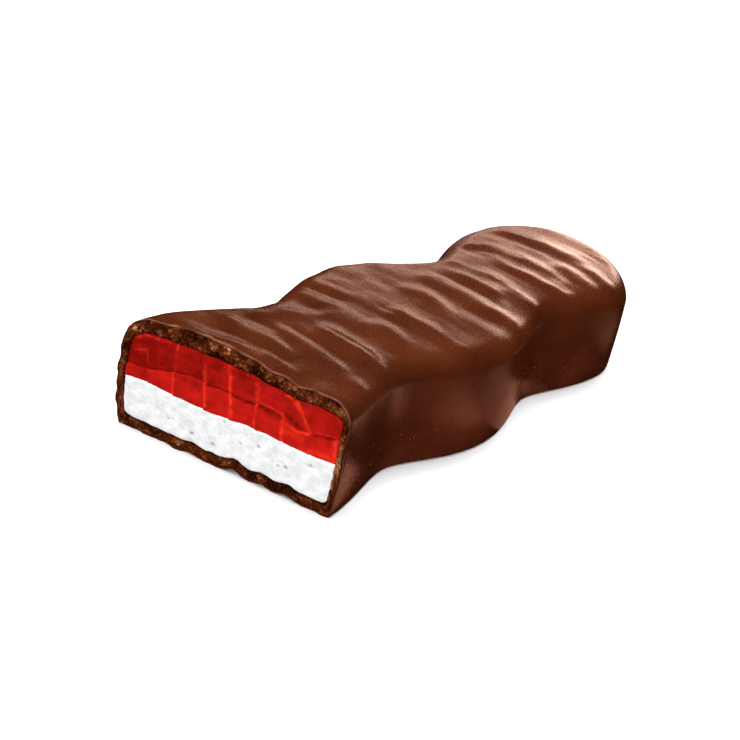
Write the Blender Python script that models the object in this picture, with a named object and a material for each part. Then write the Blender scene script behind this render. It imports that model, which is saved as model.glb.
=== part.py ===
"""Marshmallow bar with a jelly layer and a chocolate coating, cut through its first lobe.

The bar lies on its flat underside along +Y, and its cut face looks towards -Y. In plan it is
a chain of three round lobes. Three solids share that plan, each a block whose grid is laid
over the plan by one function: the coating, the jelly and the marshmallow.
Lengths are in metres. Y starts at the middle lobe and moves to the centre of the box last.
"""

import math
import random
from collections import namedtuple

import bmesh
import bpy

RIGHT, LEFT, END, CUT = 1, -1, 2, 3

# Plan: lobes and waists, as half widths from the long axis on each side
PITCH = 0.0304
LOBE_HALF = {RIGHT: (0.0146, 0.0153, 0.0141), LEFT: (0.0160, 0.0148, 0.0126)}
WAIST_HALF = {RIGHT: (0.0116, 0.0115), LEFT: (0.0107, 0.0082)}
LEFT_SHIFT = -0.0022
WAIST_SOFTNESS = 0.35
FAR_LOBE_Y = PITCH
END_REACH = 0.0123

# Section: height, crown and rounded edges
EDGE_HEIGHT = 0.0144
CROWN = 0.0011
CROWN_X = -0.0025
TOP_RADIUS = {RIGHT: 0.0022, LEFT: 0.0037, END: 0.0050, CUT: 0.0031}
CUT_EDGE_REACH = 0.15
FOOT_RADIUS = 0.0004
WALL_BULGE = {RIGHT: 0.0002, LEFT: 0.0008}

# Cut plane: how far it stands off the middle lobe, and how it turns and leans
CUT_Y = -0.0315
CUT_TURN = 0.246
CUT_LEAN = 0.089
RELIEF_REACH = 0.125

# Crags of the broken rim: height, and each wave's length and direction in the cut
CUT_CRAG = 0.00014
CRAG_WAVES = ((0.0021, 0.30), (0.0022, 2.20))

# Layers: coating thickness, the level where jelly meets marshmallow, and the gap between solids
COAT_WALL = {RIGHT: 0.0006, LEFT: 0.0010}
COAT_END = 0.0010
COAT_TOP = 0.0015
COAT_BASE = 0.0014
LAYER_LEVEL = 0.0070
LAYER_WAVE = 0.00015
LAYER_WAVE_ACROSS = 0.0150
LAYER_WAVE_ALONG = 0.0242
GAP = 0.0003
FILLING_FOOT_RADIUS = 0.0010
MARSHMALLOW_BULGE = 0.00025

# Jelly face: two tiers of blocks that stand a little in front of and behind the cut
JELLY_BLOCK = 0.0038
JELLY_BLOCK_START = -0.0123
JELLY_BLOCKS = 6
JELLY_STEP = 0.00025
JELLY_TIER = 0.0004
JELLY_TIER_LEVEL = 0.0098
JELLY_TIER_SHARE = 0.43
JOINT_WIDTH = 0.0003
JOINT_SHARE = 0.025

# Ridges blown across the warm coating, and grooves where the height is below zero. Each runs from
# left to right and from start to end, with its middle that much further along than a straight one.
Ridge = namedtuple("Ridge", "left right start end bow height")
RIDGES = (
    Ridge(-0.0090, 0.0030, -0.0314, -0.0288, 0.0002, 0.00012),
    Ridge(-0.0070, 0.0060, -0.0236, -0.0224, 0.0005, -0.00016),
    Ridge(-0.0030, 0.0080, -0.0221, -0.0223, 0.0004, 0.00020),
    Ridge(0.0000, 0.0115, -0.0169, -0.0173, 0.0000, 0.00024),
    Ridge(-0.0110, -0.0040, -0.0100, -0.0098, 0.0000, -0.00016),
    Ridge(0.0025, 0.0120, -0.0102, -0.0103, 0.0003, 0.00020),
    Ridge(0.0015, 0.0155, -0.0051, -0.0050, 0.0001, 0.00028),
    Ridge(-0.0080, 0.0010, -0.0010, -0.0006, 0.0002, -0.00014),
    Ridge(-0.0025, 0.0065, 0.0016, -0.0002, 0.0009, 0.00024),
    Ridge(-0.0040, 0.0095, 0.0062, 0.0064, 0.0003, 0.00026),
    Ridge(-0.0035, 0.0060, 0.0108, 0.0114, 0.0002, 0.00024),
    Ridge(-0.0050, 0.0120, 0.0132, 0.0139, 0.0010, 0.00026),
    Ridge(-0.0040, 0.0120, 0.0194, 0.0206, 0.0007, 0.00028),
    Ridge(-0.0080, 0.0090, 0.0214, 0.0233, 0.0020, 0.00030),
    Ridge(0.0045, 0.0155, 0.0276, 0.0242, 0.0012, 0.00030),
    Ridge(-0.0090, 0.0150, 0.0296, 0.0288, 0.0028, 0.00032),
)
RIDGE_FAR_WIDTH = 0.0010
RIDGE_NEAR_WIDTH = 0.0020
RIDGE_TAPER = 0.0030
RIDGE_MARGIN = 0.0020

# Shallow troughs near the cut, along the underside and the top: where they lie, and how deep
TROUGHS = ((-0.0048, 0.0002), (0.0012, 0.0006), (0.0050, 0.0003), (0.0085, 0.0004))
TROUGH_WIDTH = 0.0011
TROUGH_END = -0.0130
TOP_TROUGHS = ((0.0040, 0.00045), (0.0075, 0.00075))
TOP_TROUGH_WIDTH = 0.0017
TOP_TROUGH_END = -0.0230

# Grids: rows round an edge, rows across, along, round the end and up
EDGE_ROWS = 5
COAT_GRID = {"across": 10, "along": 64, "end": 9, "up": 3}
FILL_GRID = {"across": 6, "along": 22, "end": 4, "up": 3}
TYPICAL_HALF = 0.0140
CORE_OVERRUN = 0.05
SETTLE_STEPS = 4
SLOPE_STEP = PITCH / 100.0
RIM_ACROSS = 32
RIM_UP = 9
FRONT_ROWS = 1.5
FACING_DOWN = -0.9
TINY = 1e-6
SHARP_ANGLE = math.radians(40.0)
SEED = 5

Finish = namedtuple("Finish", "colour roughness")
CHOCOLATE = Finish((0.105, 0.030, 0.014), 0.32)
JELLY = Finish((0.500, 0.012, 0.010), 0.15)
MARSHMALLOW = Finish((0.860, 0.860, 0.850), 0.65)

Layer = namedtuple("Layer", "inset end_inset floor roof top_radius foot_radius relief")


def smooth(low, high, value):
    """Return 0 below low, 1 above high and a soft step between them."""
    t = min(max((value - low) / (high - low), 0.0), 1.0)
    return t * t * (3.0 - 2.0 * t)


def mixed(sides, u):
    """Return what lies between the right and the left value at a place across."""
    return sides[LEFT] + (sides[RIGHT] - sides[LEFT]) * (0.5 + 0.5 * u)


def edge_radius(radius, u, v):
    """Return the radius of the rounded edge next to a place across and along.

    The right edge keeps its radius up to the round end, and the left one is tighter at the cut.
    """
    left = radius[CUT] + (radius[LEFT] - radius[CUT]) * smooth(0.0, CUT_EDGE_REACH, v)
    beside = mixed({RIGHT: radius[RIGHT], LEFT: left}, u)
    return beside + (radius[END] - beside) * max(v - 1.0, 0.0)


def half_width(y, side):
    """Return the bar's half width on one side, from its chain of lobes and waists."""
    shift = LEFT_SHIFT if side == LEFT else 0.0
    lobes = min((y - shift) / PITCH + 1.0, 2.0)
    nearest = max(round(lobes), 0)
    away = 2.0 * abs(lobes - nearest)
    lobe = LOBE_HALF[side][nearest]
    waist = WAIST_HALF[side][min(max(math.floor(lobes), 0), 1)]
    swell = math.hypot(math.cos(math.pi / 2.0 * away), WAIST_SOFTNESS) - WAIST_SOFTNESS
    return waist + (lobe - waist) * swell / (math.hypot(1.0, WAIST_SOFTNESS) - WAIST_SOFTNESS)


def wall_slope(y, side):
    """Return how fast the half width changes along the bar."""
    ahead = half_width(y + SLOPE_STEP, side)
    return (ahead - half_width(y - SLOPE_STEP, side)) / (2.0 * SLOPE_STEP)


def ridges(x, y):
    """Return the height of the blown ridges over the plain top, each steep on its far side."""
    height = 0.0
    for ridge in RIDGES:
        t = (x - ridge.left) / (ridge.right - ridge.left)
        line = ridge.start + (ridge.end - ridge.start) * t + 4.0 * ridge.bow * t * (1.0 - t)
        ends = smooth(ridge.left - RIDGE_TAPER / 2.0, ridge.left + RIDGE_TAPER / 2.0, x)
        ends *= 1.0 - smooth(ridge.right - RIDGE_TAPER / 2.0, ridge.right + RIDGE_TAPER / 2.0, x)
        away = (y - line) / (RIDGE_FAR_WIDTH if y > line else RIDGE_NEAR_WIDTH)
        height += ridge.height * ends * math.exp(-away * away)
    return height


def trough_depth(x, y, places, width, end):
    """Return how deep a row of troughs is, which start at the cut and fade out."""
    fade = 1.0 - smooth(CUT_Y, end, y)
    return fade * sum(depth * math.exp(-(((x - place) / width) ** 2)) for place, depth in places)


def troughs(x, y):
    """Return how far the underside rises in its troughs."""
    return trough_depth(x, y, TROUGHS, TROUGH_WIDTH, TROUGH_END)


def plain_roof(x, y):
    """Return the crowned top with its troughs and without its ridges."""
    half = half_width(y, RIGHT if x > CROWN_X else LEFT)
    across = min(abs(x - CROWN_X) / (half + abs(CROWN_X)), 1.0)
    dip = trough_depth(x, y, TOP_TROUGHS, TOP_TROUGH_WIDTH, TOP_TROUGH_END)
    return EDGE_HEIGHT + CROWN * (1.0 - across * across) - dip


def layer_level(x, y):
    """Return the height at which the jelly lies on the marshmallow."""
    across = math.sin(math.tau * x / LAYER_WAVE_ACROSS)
    return LAYER_LEVEL + LAYER_WAVE * (across + math.sin(math.tau * y / LAYER_WAVE_ALONG + 1.0))


def coat_roof(x, y, inward):
    """Return the outer top of the coating."""
    return plain_roof(x, y) + ridges(x, y) * smooth(0.0, RIDGE_MARGIN, inward)


def core_roof(x, y, _inward):
    """Return the underside of the coating's top."""
    return plain_roof(x, y) - COAT_TOP


def core_floor(x, y):
    """Return the upper side of the coating's base."""
    return COAT_BASE + troughs(x, y)


def crags(x, z):
    """Return the broken relief of the coating's cut rim."""
    relief = 0.0
    for length, direction in CRAG_WAVES:
        across = x * math.cos(direction) + z * math.sin(direction)
        relief += CUT_CRAG * math.sin(math.tau * across / length + direction)
    return relief


def jelly_blocks(x, z):
    """Return the relief of the jelly's cut face, block by block in two tiers."""
    column = math.floor((x - JELLY_BLOCK_START) / JELLY_BLOCK)
    tier = 1 if z < JELLY_TIER_LEVEL else 0
    draw = random.Random(SEED + 2 * column + tier)
    return JELLY_STEP * draw.uniform(-1.0, 1.0) - JELLY_TIER * tier


def soft_bulge(x, z):
    """Return the slight bulge of the marshmallow's cut face."""
    middle = LAYER_LEVEL / 2.0
    across = math.cos(math.pi / 2.0 * min(abs(x) / TYPICAL_HALF, 1.0))
    return -MARSHMALLOW_BULGE * max(1.0 - ((z - middle) / middle) ** 2, 0.0) * across


def flush(_x, _z):
    """Return no relief."""
    return 0.0


NONE = {RIGHT: 0.0, LEFT: 0.0, END: 0.0, CUT: 0.0}
CORE_RADIUS = {side: radius - COAT_TOP for side, radius in TOP_RADIUS.items()}
COATING = Layer(NONE, 0.0, troughs, coat_roof, TOP_RADIUS, FOOT_RADIUS, crags)
CORE = Layer(COAT_WALL, COAT_END, core_floor, core_roof, CORE_RADIUS, FILLING_FOOT_RADIUS, flush)
FILLING_INSET = {side: wall + GAP for side, wall in COAT_WALL.items()}
JELLY_LAYER = Layer(
    FILLING_INSET, COAT_END + GAP,
    lambda x, y: layer_level(x, y) + GAP / 2.0,
    lambda x, y, inward: core_roof(x, y, inward) - GAP,
    CORE_RADIUS, 0.0, jelly_blocks)
MARSHMALLOW_LAYER = Layer(
    FILLING_INSET, COAT_END + GAP,
    lambda x, y: core_floor(x, y) + GAP,
    lambda x, y, inward: layer_level(x, y) - GAP / 2.0,
    NONE, FILLING_FOOT_RADIUS, soft_bulge)


def rounded(radius, inward):
    """Return how far an edge of this radius has dropped at a distance in from the wall."""
    if inward >= radius:
        return 0.0
    return radius - math.sqrt(radius * radius - (radius - inward) ** 2)


def lay(layer, u, v, w):
    """Lay a point of the unit block over the plan.

    u runs across from -1 to 1, v along from the cut at 0 over the far lobe's middle at 1 to
    the end at 2, and w up from 0 to 1.
    """
    side = RIGHT if u >= 0.0 else LEFT
    round_part = max(v - 1.0, 0.0)
    disc_u = u * math.sqrt(1.0 - round_part * round_part / 2.0)
    disc_v = round_part * math.sqrt(1.0 - u * u / 2.0)
    from_middle = math.hypot(disc_u, disc_v)
    reach = END_REACH - layer.end_inset
    x, y, z = u * TYPICAL_HALF, 0.0, w * EDGE_HEIGHT
    for _step in range(SETTLE_STEPS):
        start = CUT_Y + CUT_TURN * x + CUT_LEAN * z
        y = start + min(v, 1.0) * (FAR_LOBE_Y - start)
        steep = math.hypot(1.0, wall_slope(y, side))
        half = half_width(y, side) - layer.inset[side] * steep
        radius = math.hypot(disc_u * half, disc_v * reach) / from_middle if from_middle else half
        inward = (1.0 - from_middle) * radius / steep
        up = 2.0 * z / EDGE_HEIGHT - 1.0
        swell = 1.0 + mixed(WALL_BULGE, u) * (1.0 - up * up) / TYPICAL_HALF
        x = disc_u * half * swell
        y += disc_v * reach * swell
        low = layer.floor(x, y) + rounded(layer.foot_radius, inward)
        high = layer.roof(x, y, inward) - rounded(edge_radius(layer.top_radius, u, v), inward)
        z = low + w * (high - low)
    fade = max(1.0 - abs(v) / RELIEF_REACH, 0.0)
    return x, y + layer.relief(x, z) * fade, z


def edge_lines(count, radius):
    """Return how far in from a wall the grid lines of a rounded edge lie."""
    return [radius * (1.0 - math.cos(math.pi / 2.0 * k / count)) for k in range(1, count + 1)]


def grid_lines(grid, radius, edge_rows):
    """Return the inner grid lines of a block along u, v and w."""
    edges = {side: edge_lines(edge_rows, radius[side] / TYPICAL_HALF) for side in (RIGHT, LEFT)}
    low, high = edges[LEFT][-1] - 1.0, 1.0 - edges[RIGHT][-1]
    across = [low + (high - low) * k / grid["across"] for k in range(1, grid["across"])]
    across += [side * (1.0 - inward) for side in (RIGHT, LEFT) for inward in edges[side]]
    end_edge = edge_lines(edge_rows, radius[END] / TYPICAL_HALF)
    inner = 1.0 - end_edge[-1]
    along = [k / grid["along"] for k in range(1, grid["along"] + 1)]
    along += [1.0 + inner * k / grid["end"] for k in range(1, grid["end"])]
    along += [2.0 - inward for inward in end_edge]
    up = [k / grid["up"] for k in range(1, grid["up"])]
    return across, along, up


def rim_lines():
    """Return the extra lines over the coating's cut face, fine enough for its crags."""
    across = [2.0 * k / RIM_ACROSS - 1.0 for k in range(1, RIM_ACROSS)]
    return across, [k / RIM_UP for k in range(1, RIM_UP)]


def joint_lines():
    """Return the extra lines over the jelly's cut face, on both sides of each joint in it."""
    lines = []
    for k in range(JELLY_BLOCKS + 1):
        joint = JELLY_BLOCK_START + k * JELLY_BLOCK
        half = LOBE_HALF[RIGHT if joint > 0.0 else LEFT][0] - COAT_WALL[RIGHT] - GAP
        lines += [(joint + side * JOINT_WIDTH / 2.0) / half for side in (RIGHT, LEFT)]
    return lines, [JELLY_TIER_SHARE - JOINT_SHARE, JELLY_TIER_SHARE + JOINT_SHARE]


def cut_grid(block, axis, places, deepest):
    """Cut the block's faces that lie no deeper than a given v along lines of one axis."""
    for place in places:
        point = [0.0, 0.0, 0.0]
        normal = [0.0, 0.0, 0.0]
        point[axis] = place
        normal[axis] = 1.0
        near = [vert for vert in block.verts if vert.co.y < deepest]
        chosen = set(near)
        edges = [edge for edge in block.edges if chosen.issuperset(edge.verts)]
        faces = [face for face in block.faces if chosen.issuperset(face.verts)]
        bmesh.ops.bisect_plane(block, geom=near + edges + faces, plane_co=point, plane_no=normal)


def gridded_block(lines, front_lines, front=0.0):
    """Return a block over u, v and w, cut along lines of each and more finely at its front."""
    block = bmesh.new()
    bmesh.ops.create_cube(block, size=1.0)
    for vert in block.verts:
        vert.co.x *= 2.0
        vert.co.y = front + (vert.co.y + 0.5) * (2.0 - front)
        vert.co.z += 0.5
    for axis, places in enumerate(lines):
        cut_grid(block, axis, places, deepest=math.inf)
    for axis, places in zip((0, 2), front_lines):
        cut_grid(block, axis, places, deepest=FRONT_ROWS * min(lines[1]))
    return block


def thin_underside(block, rows):
    """Drop every second row across the underside, where nothing is small."""
    spare = []
    for edge in block.edges:
        first, second = (vert.co for vert in edge.verts)
        on_base = max(first.z, second.z) < TINY
        is_cross = abs(first.y - second.y) < TINY
        row = round(first.y * rows)
        if on_base and is_cross and row % 2 == 1 and first.y < 1.0 and len(edge.link_faces) == 2:
            if all(face.normal.z < FACING_DOWN for face in edge.link_faces):
                spare.append(edge)
    bmesh.ops.dissolve_edges(block, edges=spare, use_verts=False)


def solid(name, layer, lines, collection, front_lines=((), ()), front=0.0, thin_rows=0):
    """Build one laid block as a named object."""
    block = gridded_block(lines, front_lines, front)
    block.normal_update()
    if thin_rows:
        thin_underside(block, thin_rows)
    bmesh.ops.triangulate(block, faces=block.faces[:], quad_method="SHORT_EDGE")
    for vert in block.verts:
        vert.co = lay(layer, *vert.co)
    bmesh.ops.recalc_face_normals(block, faces=block.faces[:])
    mesh = bpy.data.meshes.new(name)
    block.to_mesh(mesh)
    block.free()
    piece = bpy.data.objects.new(name, mesh)
    collection.objects.link(piece)
    return piece


def dress(piece, finish):
    """Give a piece its own material and smooth shading."""
    material = bpy.data.materials.new(piece.name)
    material.use_nodes = True
    shader = material.node_tree.nodes["Principled BSDF"]
    shader.inputs["Base Color"].default_value = (*finish.colour, 1.0)
    shader.inputs["Roughness"].default_value = finish.roughness
    piece.data.materials.append(material)
    piece.data.shade_smooth()
    piece.data.set_sharp_from_angle(angle=SHARP_ANGLE)


def hollow(piece, cutter):
    """Cut the core out of the coating."""
    cutter.hide_render = True
    cutter.display_type = "WIRE"
    cut = piece.modifiers.new("core", "BOOLEAN")
    cut.operation = "DIFFERENCE"
    cut.solver = "EXACT"
    cut.object = cutter


def centre(pieces, measured):
    """Move the pieces so that the middle of the measured one's base is the origin."""
    xs = [vert.co.x for vert in measured.data.vertices]
    ys = [vert.co.y for vert in measured.data.vertices]
    zs = [vert.co.z for vert in measured.data.vertices]
    middle = ((min(xs) + max(xs)) / 2.0, (min(ys) + max(ys)) / 2.0, min(zs))
    for piece in pieces:
        for vert in piece.data.vertices:
            vert.co.x -= middle[0]
            vert.co.y -= middle[1]
            vert.co.z -= middle[2]


def collection_named(name):
    """Add a collection to the scene."""
    collection = bpy.data.collections.new(name)
    bpy.context.scene.collection.children.link(collection)
    return collection


def build():
    """Build the coating and its two fillings."""
    for existing in list(bpy.data.objects):
        bpy.data.objects.remove(existing)
    bar = collection_named("marshmallow_bar")
    cutters = collection_named("cutters")

    coat_lines = grid_lines(COAT_GRID, TOP_RADIUS, EDGE_ROWS)
    fill_lines = grid_lines(FILL_GRID, CORE_RADIUS, EDGE_ROWS - 2)
    core_lines = (fill_lines[0], fill_lines[1] + [0.0], fill_lines[2])

    coating = solid("chocolate_coating", COATING, coat_lines, bar, rim_lines(),
                    thin_rows=COAT_GRID["along"])
    core = solid("core", CORE, core_lines, cutters, front=-CORE_OVERRUN)
    jelly = solid("jelly_layer", JELLY_LAYER, fill_lines, bar, joint_lines())
    marshmallow = solid("marshmallow_layer", MARSHMALLOW_LAYER, fill_lines, bar)

    centre((core, jelly, marshmallow, coating), coating)
    hollow(coating, core)
    dress(coating, CHOCOLATE)
    dress(jelly, JELLY)
    dress(marshmallow, MARSHMALLOW)


build()
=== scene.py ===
import logging
import math
import random
from collections.abc import Callable
from dataclasses import dataclass, field, replace
from enum import Enum

import bmesh
import bpy
import numpy as np
from mathutils import Matrix, Vector, noise


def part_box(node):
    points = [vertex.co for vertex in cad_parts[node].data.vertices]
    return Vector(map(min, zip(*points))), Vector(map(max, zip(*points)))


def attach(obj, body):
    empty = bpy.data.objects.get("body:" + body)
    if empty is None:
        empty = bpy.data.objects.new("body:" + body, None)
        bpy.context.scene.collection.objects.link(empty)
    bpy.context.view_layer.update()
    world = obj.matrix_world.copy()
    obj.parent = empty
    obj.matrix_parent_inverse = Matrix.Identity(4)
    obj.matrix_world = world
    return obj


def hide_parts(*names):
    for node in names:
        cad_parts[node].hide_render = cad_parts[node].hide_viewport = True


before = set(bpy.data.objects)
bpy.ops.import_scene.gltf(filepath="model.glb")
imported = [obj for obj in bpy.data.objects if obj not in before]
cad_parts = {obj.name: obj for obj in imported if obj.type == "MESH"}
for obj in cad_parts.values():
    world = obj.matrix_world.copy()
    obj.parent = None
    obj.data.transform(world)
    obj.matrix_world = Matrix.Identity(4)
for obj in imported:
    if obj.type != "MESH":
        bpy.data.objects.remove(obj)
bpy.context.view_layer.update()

MM = 0.001
TINY = 1e-9
LOG = logging.getLogger("marshmallow_bar")


class Slot(Enum):
    """Material slots of the record."""

    CHOCOLATE = "chocolate"
    JELLY = "jelly"
    MARSHMALLOW = "marshmallow"


def srgb(code: str) -> tuple[float, float, float, float]:
    """Turn an sRGB hex colour into linear RGBA.

    Args:
        code: six hex digits, with or without a leading #.

    Returns:
        Linear red, green, blue and an alpha of 1.
    """
    digits = code.lstrip("#")
    channels = [int(digits[k:k + 2], 16) / 255.0 for k in (0, 2, 4)]
    linear = [c / 12.92 if c <= 0.04045 else ((c + 0.055) / 1.055) ** 2.4 for c in channels]
    return (*linear, 1.0)


def add_node(tree: bpy.types.NodeTree, kind: str, settings: dict | None = None,
             links: dict | None = None) -> bpy.types.Node:
    """Add a node with its settings and links.

    Args:
        tree: the node tree that takes it.
        kind: the node's type name.
        settings: node properties, or values of inputs by name or index.
        links: output sockets by the name or index of the input they feed.

    Returns:
        The new node.
    """
    node = tree.nodes.new(kind)
    for key, value in (settings or {}).items():
        if isinstance(key, str) and hasattr(node, key):
            setattr(node, key, value)
        else:
            node.inputs[key].default_value = value
    for key, source in (links or {}).items():
        tree.links.new(source, node.inputs[key])
    return node


def smooth(low: float, high: float, value: np.ndarray) -> np.ndarray:
    """Return 0 below low, 1 above high and a soft step between them."""
    t = np.clip((value - low) / (high - low), 0.0, 1.0)
    return t * t * (3.0 - 2.0 * t)


def rounded(radius: float, inward: np.ndarray) -> np.ndarray:
    """Return how far an edge of this radius has dropped at a distance in from the wall."""
    short = np.clip(radius - inward, 0.0, radius)
    return radius - np.sqrt(radius * radius - short * short)


def hump(value: np.ndarray, middle: float, width: float) -> np.ndarray:
    """Return 1 at the middle of a soft hump, which falls to a third at its width."""
    return np.exp(-((value - middle) / width) ** 2)


@dataclass(frozen=True)
class SoftNoise:
    """A smooth random relief made of plane waves, the same on every run.

    Attributes:
        size: typical wavelength in millimetres.
        seed: seed of the waves' directions and phases.
        height: about how far it reaches above and below zero.
        stretch: how much longer the relief is along its first axis.
        waves: number of waves that are added.
        lengths: the shortest and the longest wave, as shares of the size.
    """

    size: float
    seed: int
    height: float = 1.0
    stretch: float = 1.0
    waves: int = 14
    lengths: tuple[float, float] = (0.7, 1.5)

    def at(self, a: np.ndarray, b: np.ndarray) -> np.ndarray:
        """Return the relief at points of a plane.

        Args:
            a: the points' places on its first axis, in millimetres.
            b: their places on its second axis.

        Returns:
            The relief at each point.
        """
        draw = random.Random(self.seed)
        total = np.zeros(np.broadcast(a, b).shape)
        for _wave in range(self.waves):
            angle = draw.uniform(0.0, math.pi)
            length = self.size * draw.uniform(*self.lengths)
            phase = draw.uniform(0.0, math.tau)
            across = a * math.cos(angle) / self.stretch + b * math.sin(angle)
            total = total + np.sin(math.tau * across / length + phase)
        return self.height * (total / math.sqrt(2.0 * self.waves))


def together(reliefs: tuple[SoftNoise, ...], a: np.ndarray, b: np.ndarray) -> np.ndarray:
    """Return several reliefs added up, at points of a plane."""
    return sum(relief.at(a, b) for relief in reliefs)


@dataclass(frozen=True)
class Ridge:
    """One ridge blown across the warm coating, or a groove where its height is below zero.

    Attributes:
        left: x of its left end in millimetres.
        right: x of its right end.
        start: y of its left end.
        end: y of its right end.
        bow: how much further along its middle lies than a straight ridge's.
        height: its height.
        width: how wide it is, as a share of the usual.
        sides: width of its far and its near side in millimetres.
    """

    left: float
    right: float
    start: float
    end: float
    bow: float
    height: float
    width: float = 1.0
    sides: tuple[float, float] = (1.5, 1.7)

    def over(self, x: np.ndarray, y: np.ndarray, taper: float) -> np.ndarray:
        """Return its height over the plan.

        Args:
            x: the points' places across, in millimetres.
            y: their places along.
            taper: length over which each end fades out.

        Returns:
            The height at each point.
        """
        t = (x - self.left) / (self.right - self.left)
        line = self.start + (self.end - self.start) * t + 4.0 * self.bow * t * (1.0 - t)
        ends = smooth(self.left - taper / 2.0, self.left + taper / 2.0, x)
        ends = ends * (1.0 - smooth(self.right - taper / 2.0, self.right + taper / 2.0, x))
        return self.height * ends * hump(y, line, self.width * np.where(y > line, *self.sides))


@dataclass(frozen=True)
class Patch:
    """A soft patch on the cut where something changes.

    Attributes:
        x: its middle across, in millimetres.
        z: its middle's height.
        width: how far it reaches to each side.
        height: how far it reaches up and down.
        change: the change at its middle.
    """

    x: float
    z: float
    width: float
    height: float
    change: float

    def over(self, x: np.ndarray, z: np.ndarray) -> np.ndarray:
        """Return the change at points of the cut."""
        return self.change * np.exp(-((x - self.x) / self.width) ** 2 - ((z - self.z) / self.height) ** 2)


@dataclass(frozen=True)
class Trace:
    """A soft line on the cut.

    Attributes:
        points: x and z of the points that it runs through, in millimetres.
        width: how far it reaches to each side.
        strength: how strong it is along its middle.
    """

    points: tuple
    width: float
    strength: float

    def over(self, x: np.ndarray, z: np.ndarray) -> np.ndarray:
        """Return how strong the line is over the cut.

        Args:
            x: the points' places across, in millimetres.
            z: their heights.

        Returns:
            The line's strength at each point.
        """
        nearest = np.full(x.shape, np.inf)
        for (x0, z0), (x1, z1) in zip(self.points, self.points[1:]):
            run, rise = x1 - x0, z1 - z0
            along = np.clip(((x - x0) * run + (z - z0) * rise) / (run * run + rise * rise), 0.0, 1.0)
            nearest = np.minimum(nearest, np.hypot(x - x0 - along * run, z - z0 - along * rise))
        return self.strength * hump(nearest, 0.0, self.width)


@dataclass(frozen=True)
class Layer:
    """One closed layer of the bar, in millimetres.

    Attributes:
        inset: how far its walls stand in from the outside, on the right and the left.
        end_inset: the same at the round end.
        floor: its underside over x and y.
        roof: its top over x, y and the distance in from the wall.
        top_radius: radius of its upper edge on the right, the left, at the round end and, on
            the left, at the cut.
        foot_radius: radius of its lower edge.
    """

    inset: tuple[float, float]
    end_inset: float
    floor: Callable[..., np.ndarray]
    roof: Callable[..., np.ndarray]
    top_radius: tuple[float, float, float, float]
    foot_radius: float


RIDGES = (
    Ridge(-9.0, 3.0, -31.4, -28.8, 0.2, 0.12),
    Ridge(-7.0, 6.0, -23.6, -22.4, 0.5, -0.16),
    Ridge(-3.0, 8.0, -22.1, -22.3, 0.4, 0.20),
    Ridge(0.0, 11.5, -16.9, -17.3, 0.0, 0.24),
    Ridge(-11.0, -4.0, -10.0, -9.8, 0.0, -0.16),
    Ridge(2.5, 12.0, -10.2, -10.3, 0.3, 0.20),
    Ridge(1.5, 15.5, -5.1, -5.0, 0.1, 0.28),
    Ridge(-8.0, 1.0, -1.0, -0.6, 0.2, -0.14),
    Ridge(-2.5, 6.5, 1.6, -0.2, 0.9, 0.24),
    Ridge(-4.0, 9.5, 6.2, 6.4, 0.3, 0.26),
    Ridge(-3.5, 6.0, 10.8, 11.4, 0.2, 0.24),
    Ridge(-5.0, 12.0, 13.2, 13.9, 1.0, 0.26),
    Ridge(-4.0, 12.0, 19.4, 20.6, 0.7, 0.28),
    Ridge(-8.0, 9.0, 21.4, 23.3, 2.0, 0.30),
    Ridge(4.5, 15.5, 27.6, 24.2, 1.2, 0.30),
    Ridge(-9.0, 15.0, 29.6, 28.8, 2.8, 0.32),
)

FAINT_RIDGES = (
    Ridge(-10.5, -1.0, -31.6, -29.3, 0.0, 0.24, 0.8),
    Ridge(0.0, 6.0, -27.1, -27.3, 0.1, 0.10, 0.5),
    Ridge(-6.0, 3.0, -27.9, -26.4, 0.2, -0.14, 0.4),
    Ridge(-9.0, 2.5, -25.6, -24.8, 0.3, 0.22, 0.8),
    Ridge(9.5, 13.5, -22.6, -22.4, 0.0, 0.14, 0.7),
    Ridge(-2.0, 8.0, -20.2, -20.4, 0.2, -0.12, 0.4),
    Ridge(-10.0, -4.0, -21.6, -20.0, 0.2, 0.08, 0.8),
    Ridge(-9.5, -3.0, -12.1, -11.7, 0.1, 0.14, 0.8),
    Ridge(-11.5, -4.0, -8.2, -8.1, 0.0, 0.16, 0.7),
    Ridge(-10.5, -5.5, -4.6, -4.2, 0.0, 0.09, 0.7),
    Ridge(0.0, 8.5, -16.6, -16.7, 0.1, -0.10, 0.3),
    Ridge(-7.0, -2.0, -19.5, -14.3, 0.0, 0.12, 1.2),
    Ridge(-3.0, 3.0, -13.8, -12.0, 0.0, 0.08),
    Ridge(-10.0, -4.5, -6.6, -6.5, 0.0, -0.08, 0.4),
    Ridge(-1.0, 9.0, -6.1, -6.0, 0.2, -0.09, 0.4),
    Ridge(6.0, 15.0, -0.6, 0.6, -0.2, 0.12, 1.4),
    Ridge(8.5, 14.0, 7.4, 7.6, 0.0, 0.16),
    Ridge(5.0, 9.0, 11.2, 9.6, 0.0, 0.12, 0.7),
    Ridge(2.0, 10.0, 14.9, 14.9, 0.0, 0.06, 0.3),
    Ridge(-6.0, -1.0, 15.6, 16.6, 0.0, 0.08),
    Ridge(-9.0, -6.0, 25.0, 25.6, 0.0, 0.10),
    Ridge(0.0, 4.0, 29.0, 27.0, 0.0, 0.08, 0.8),
)


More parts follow.
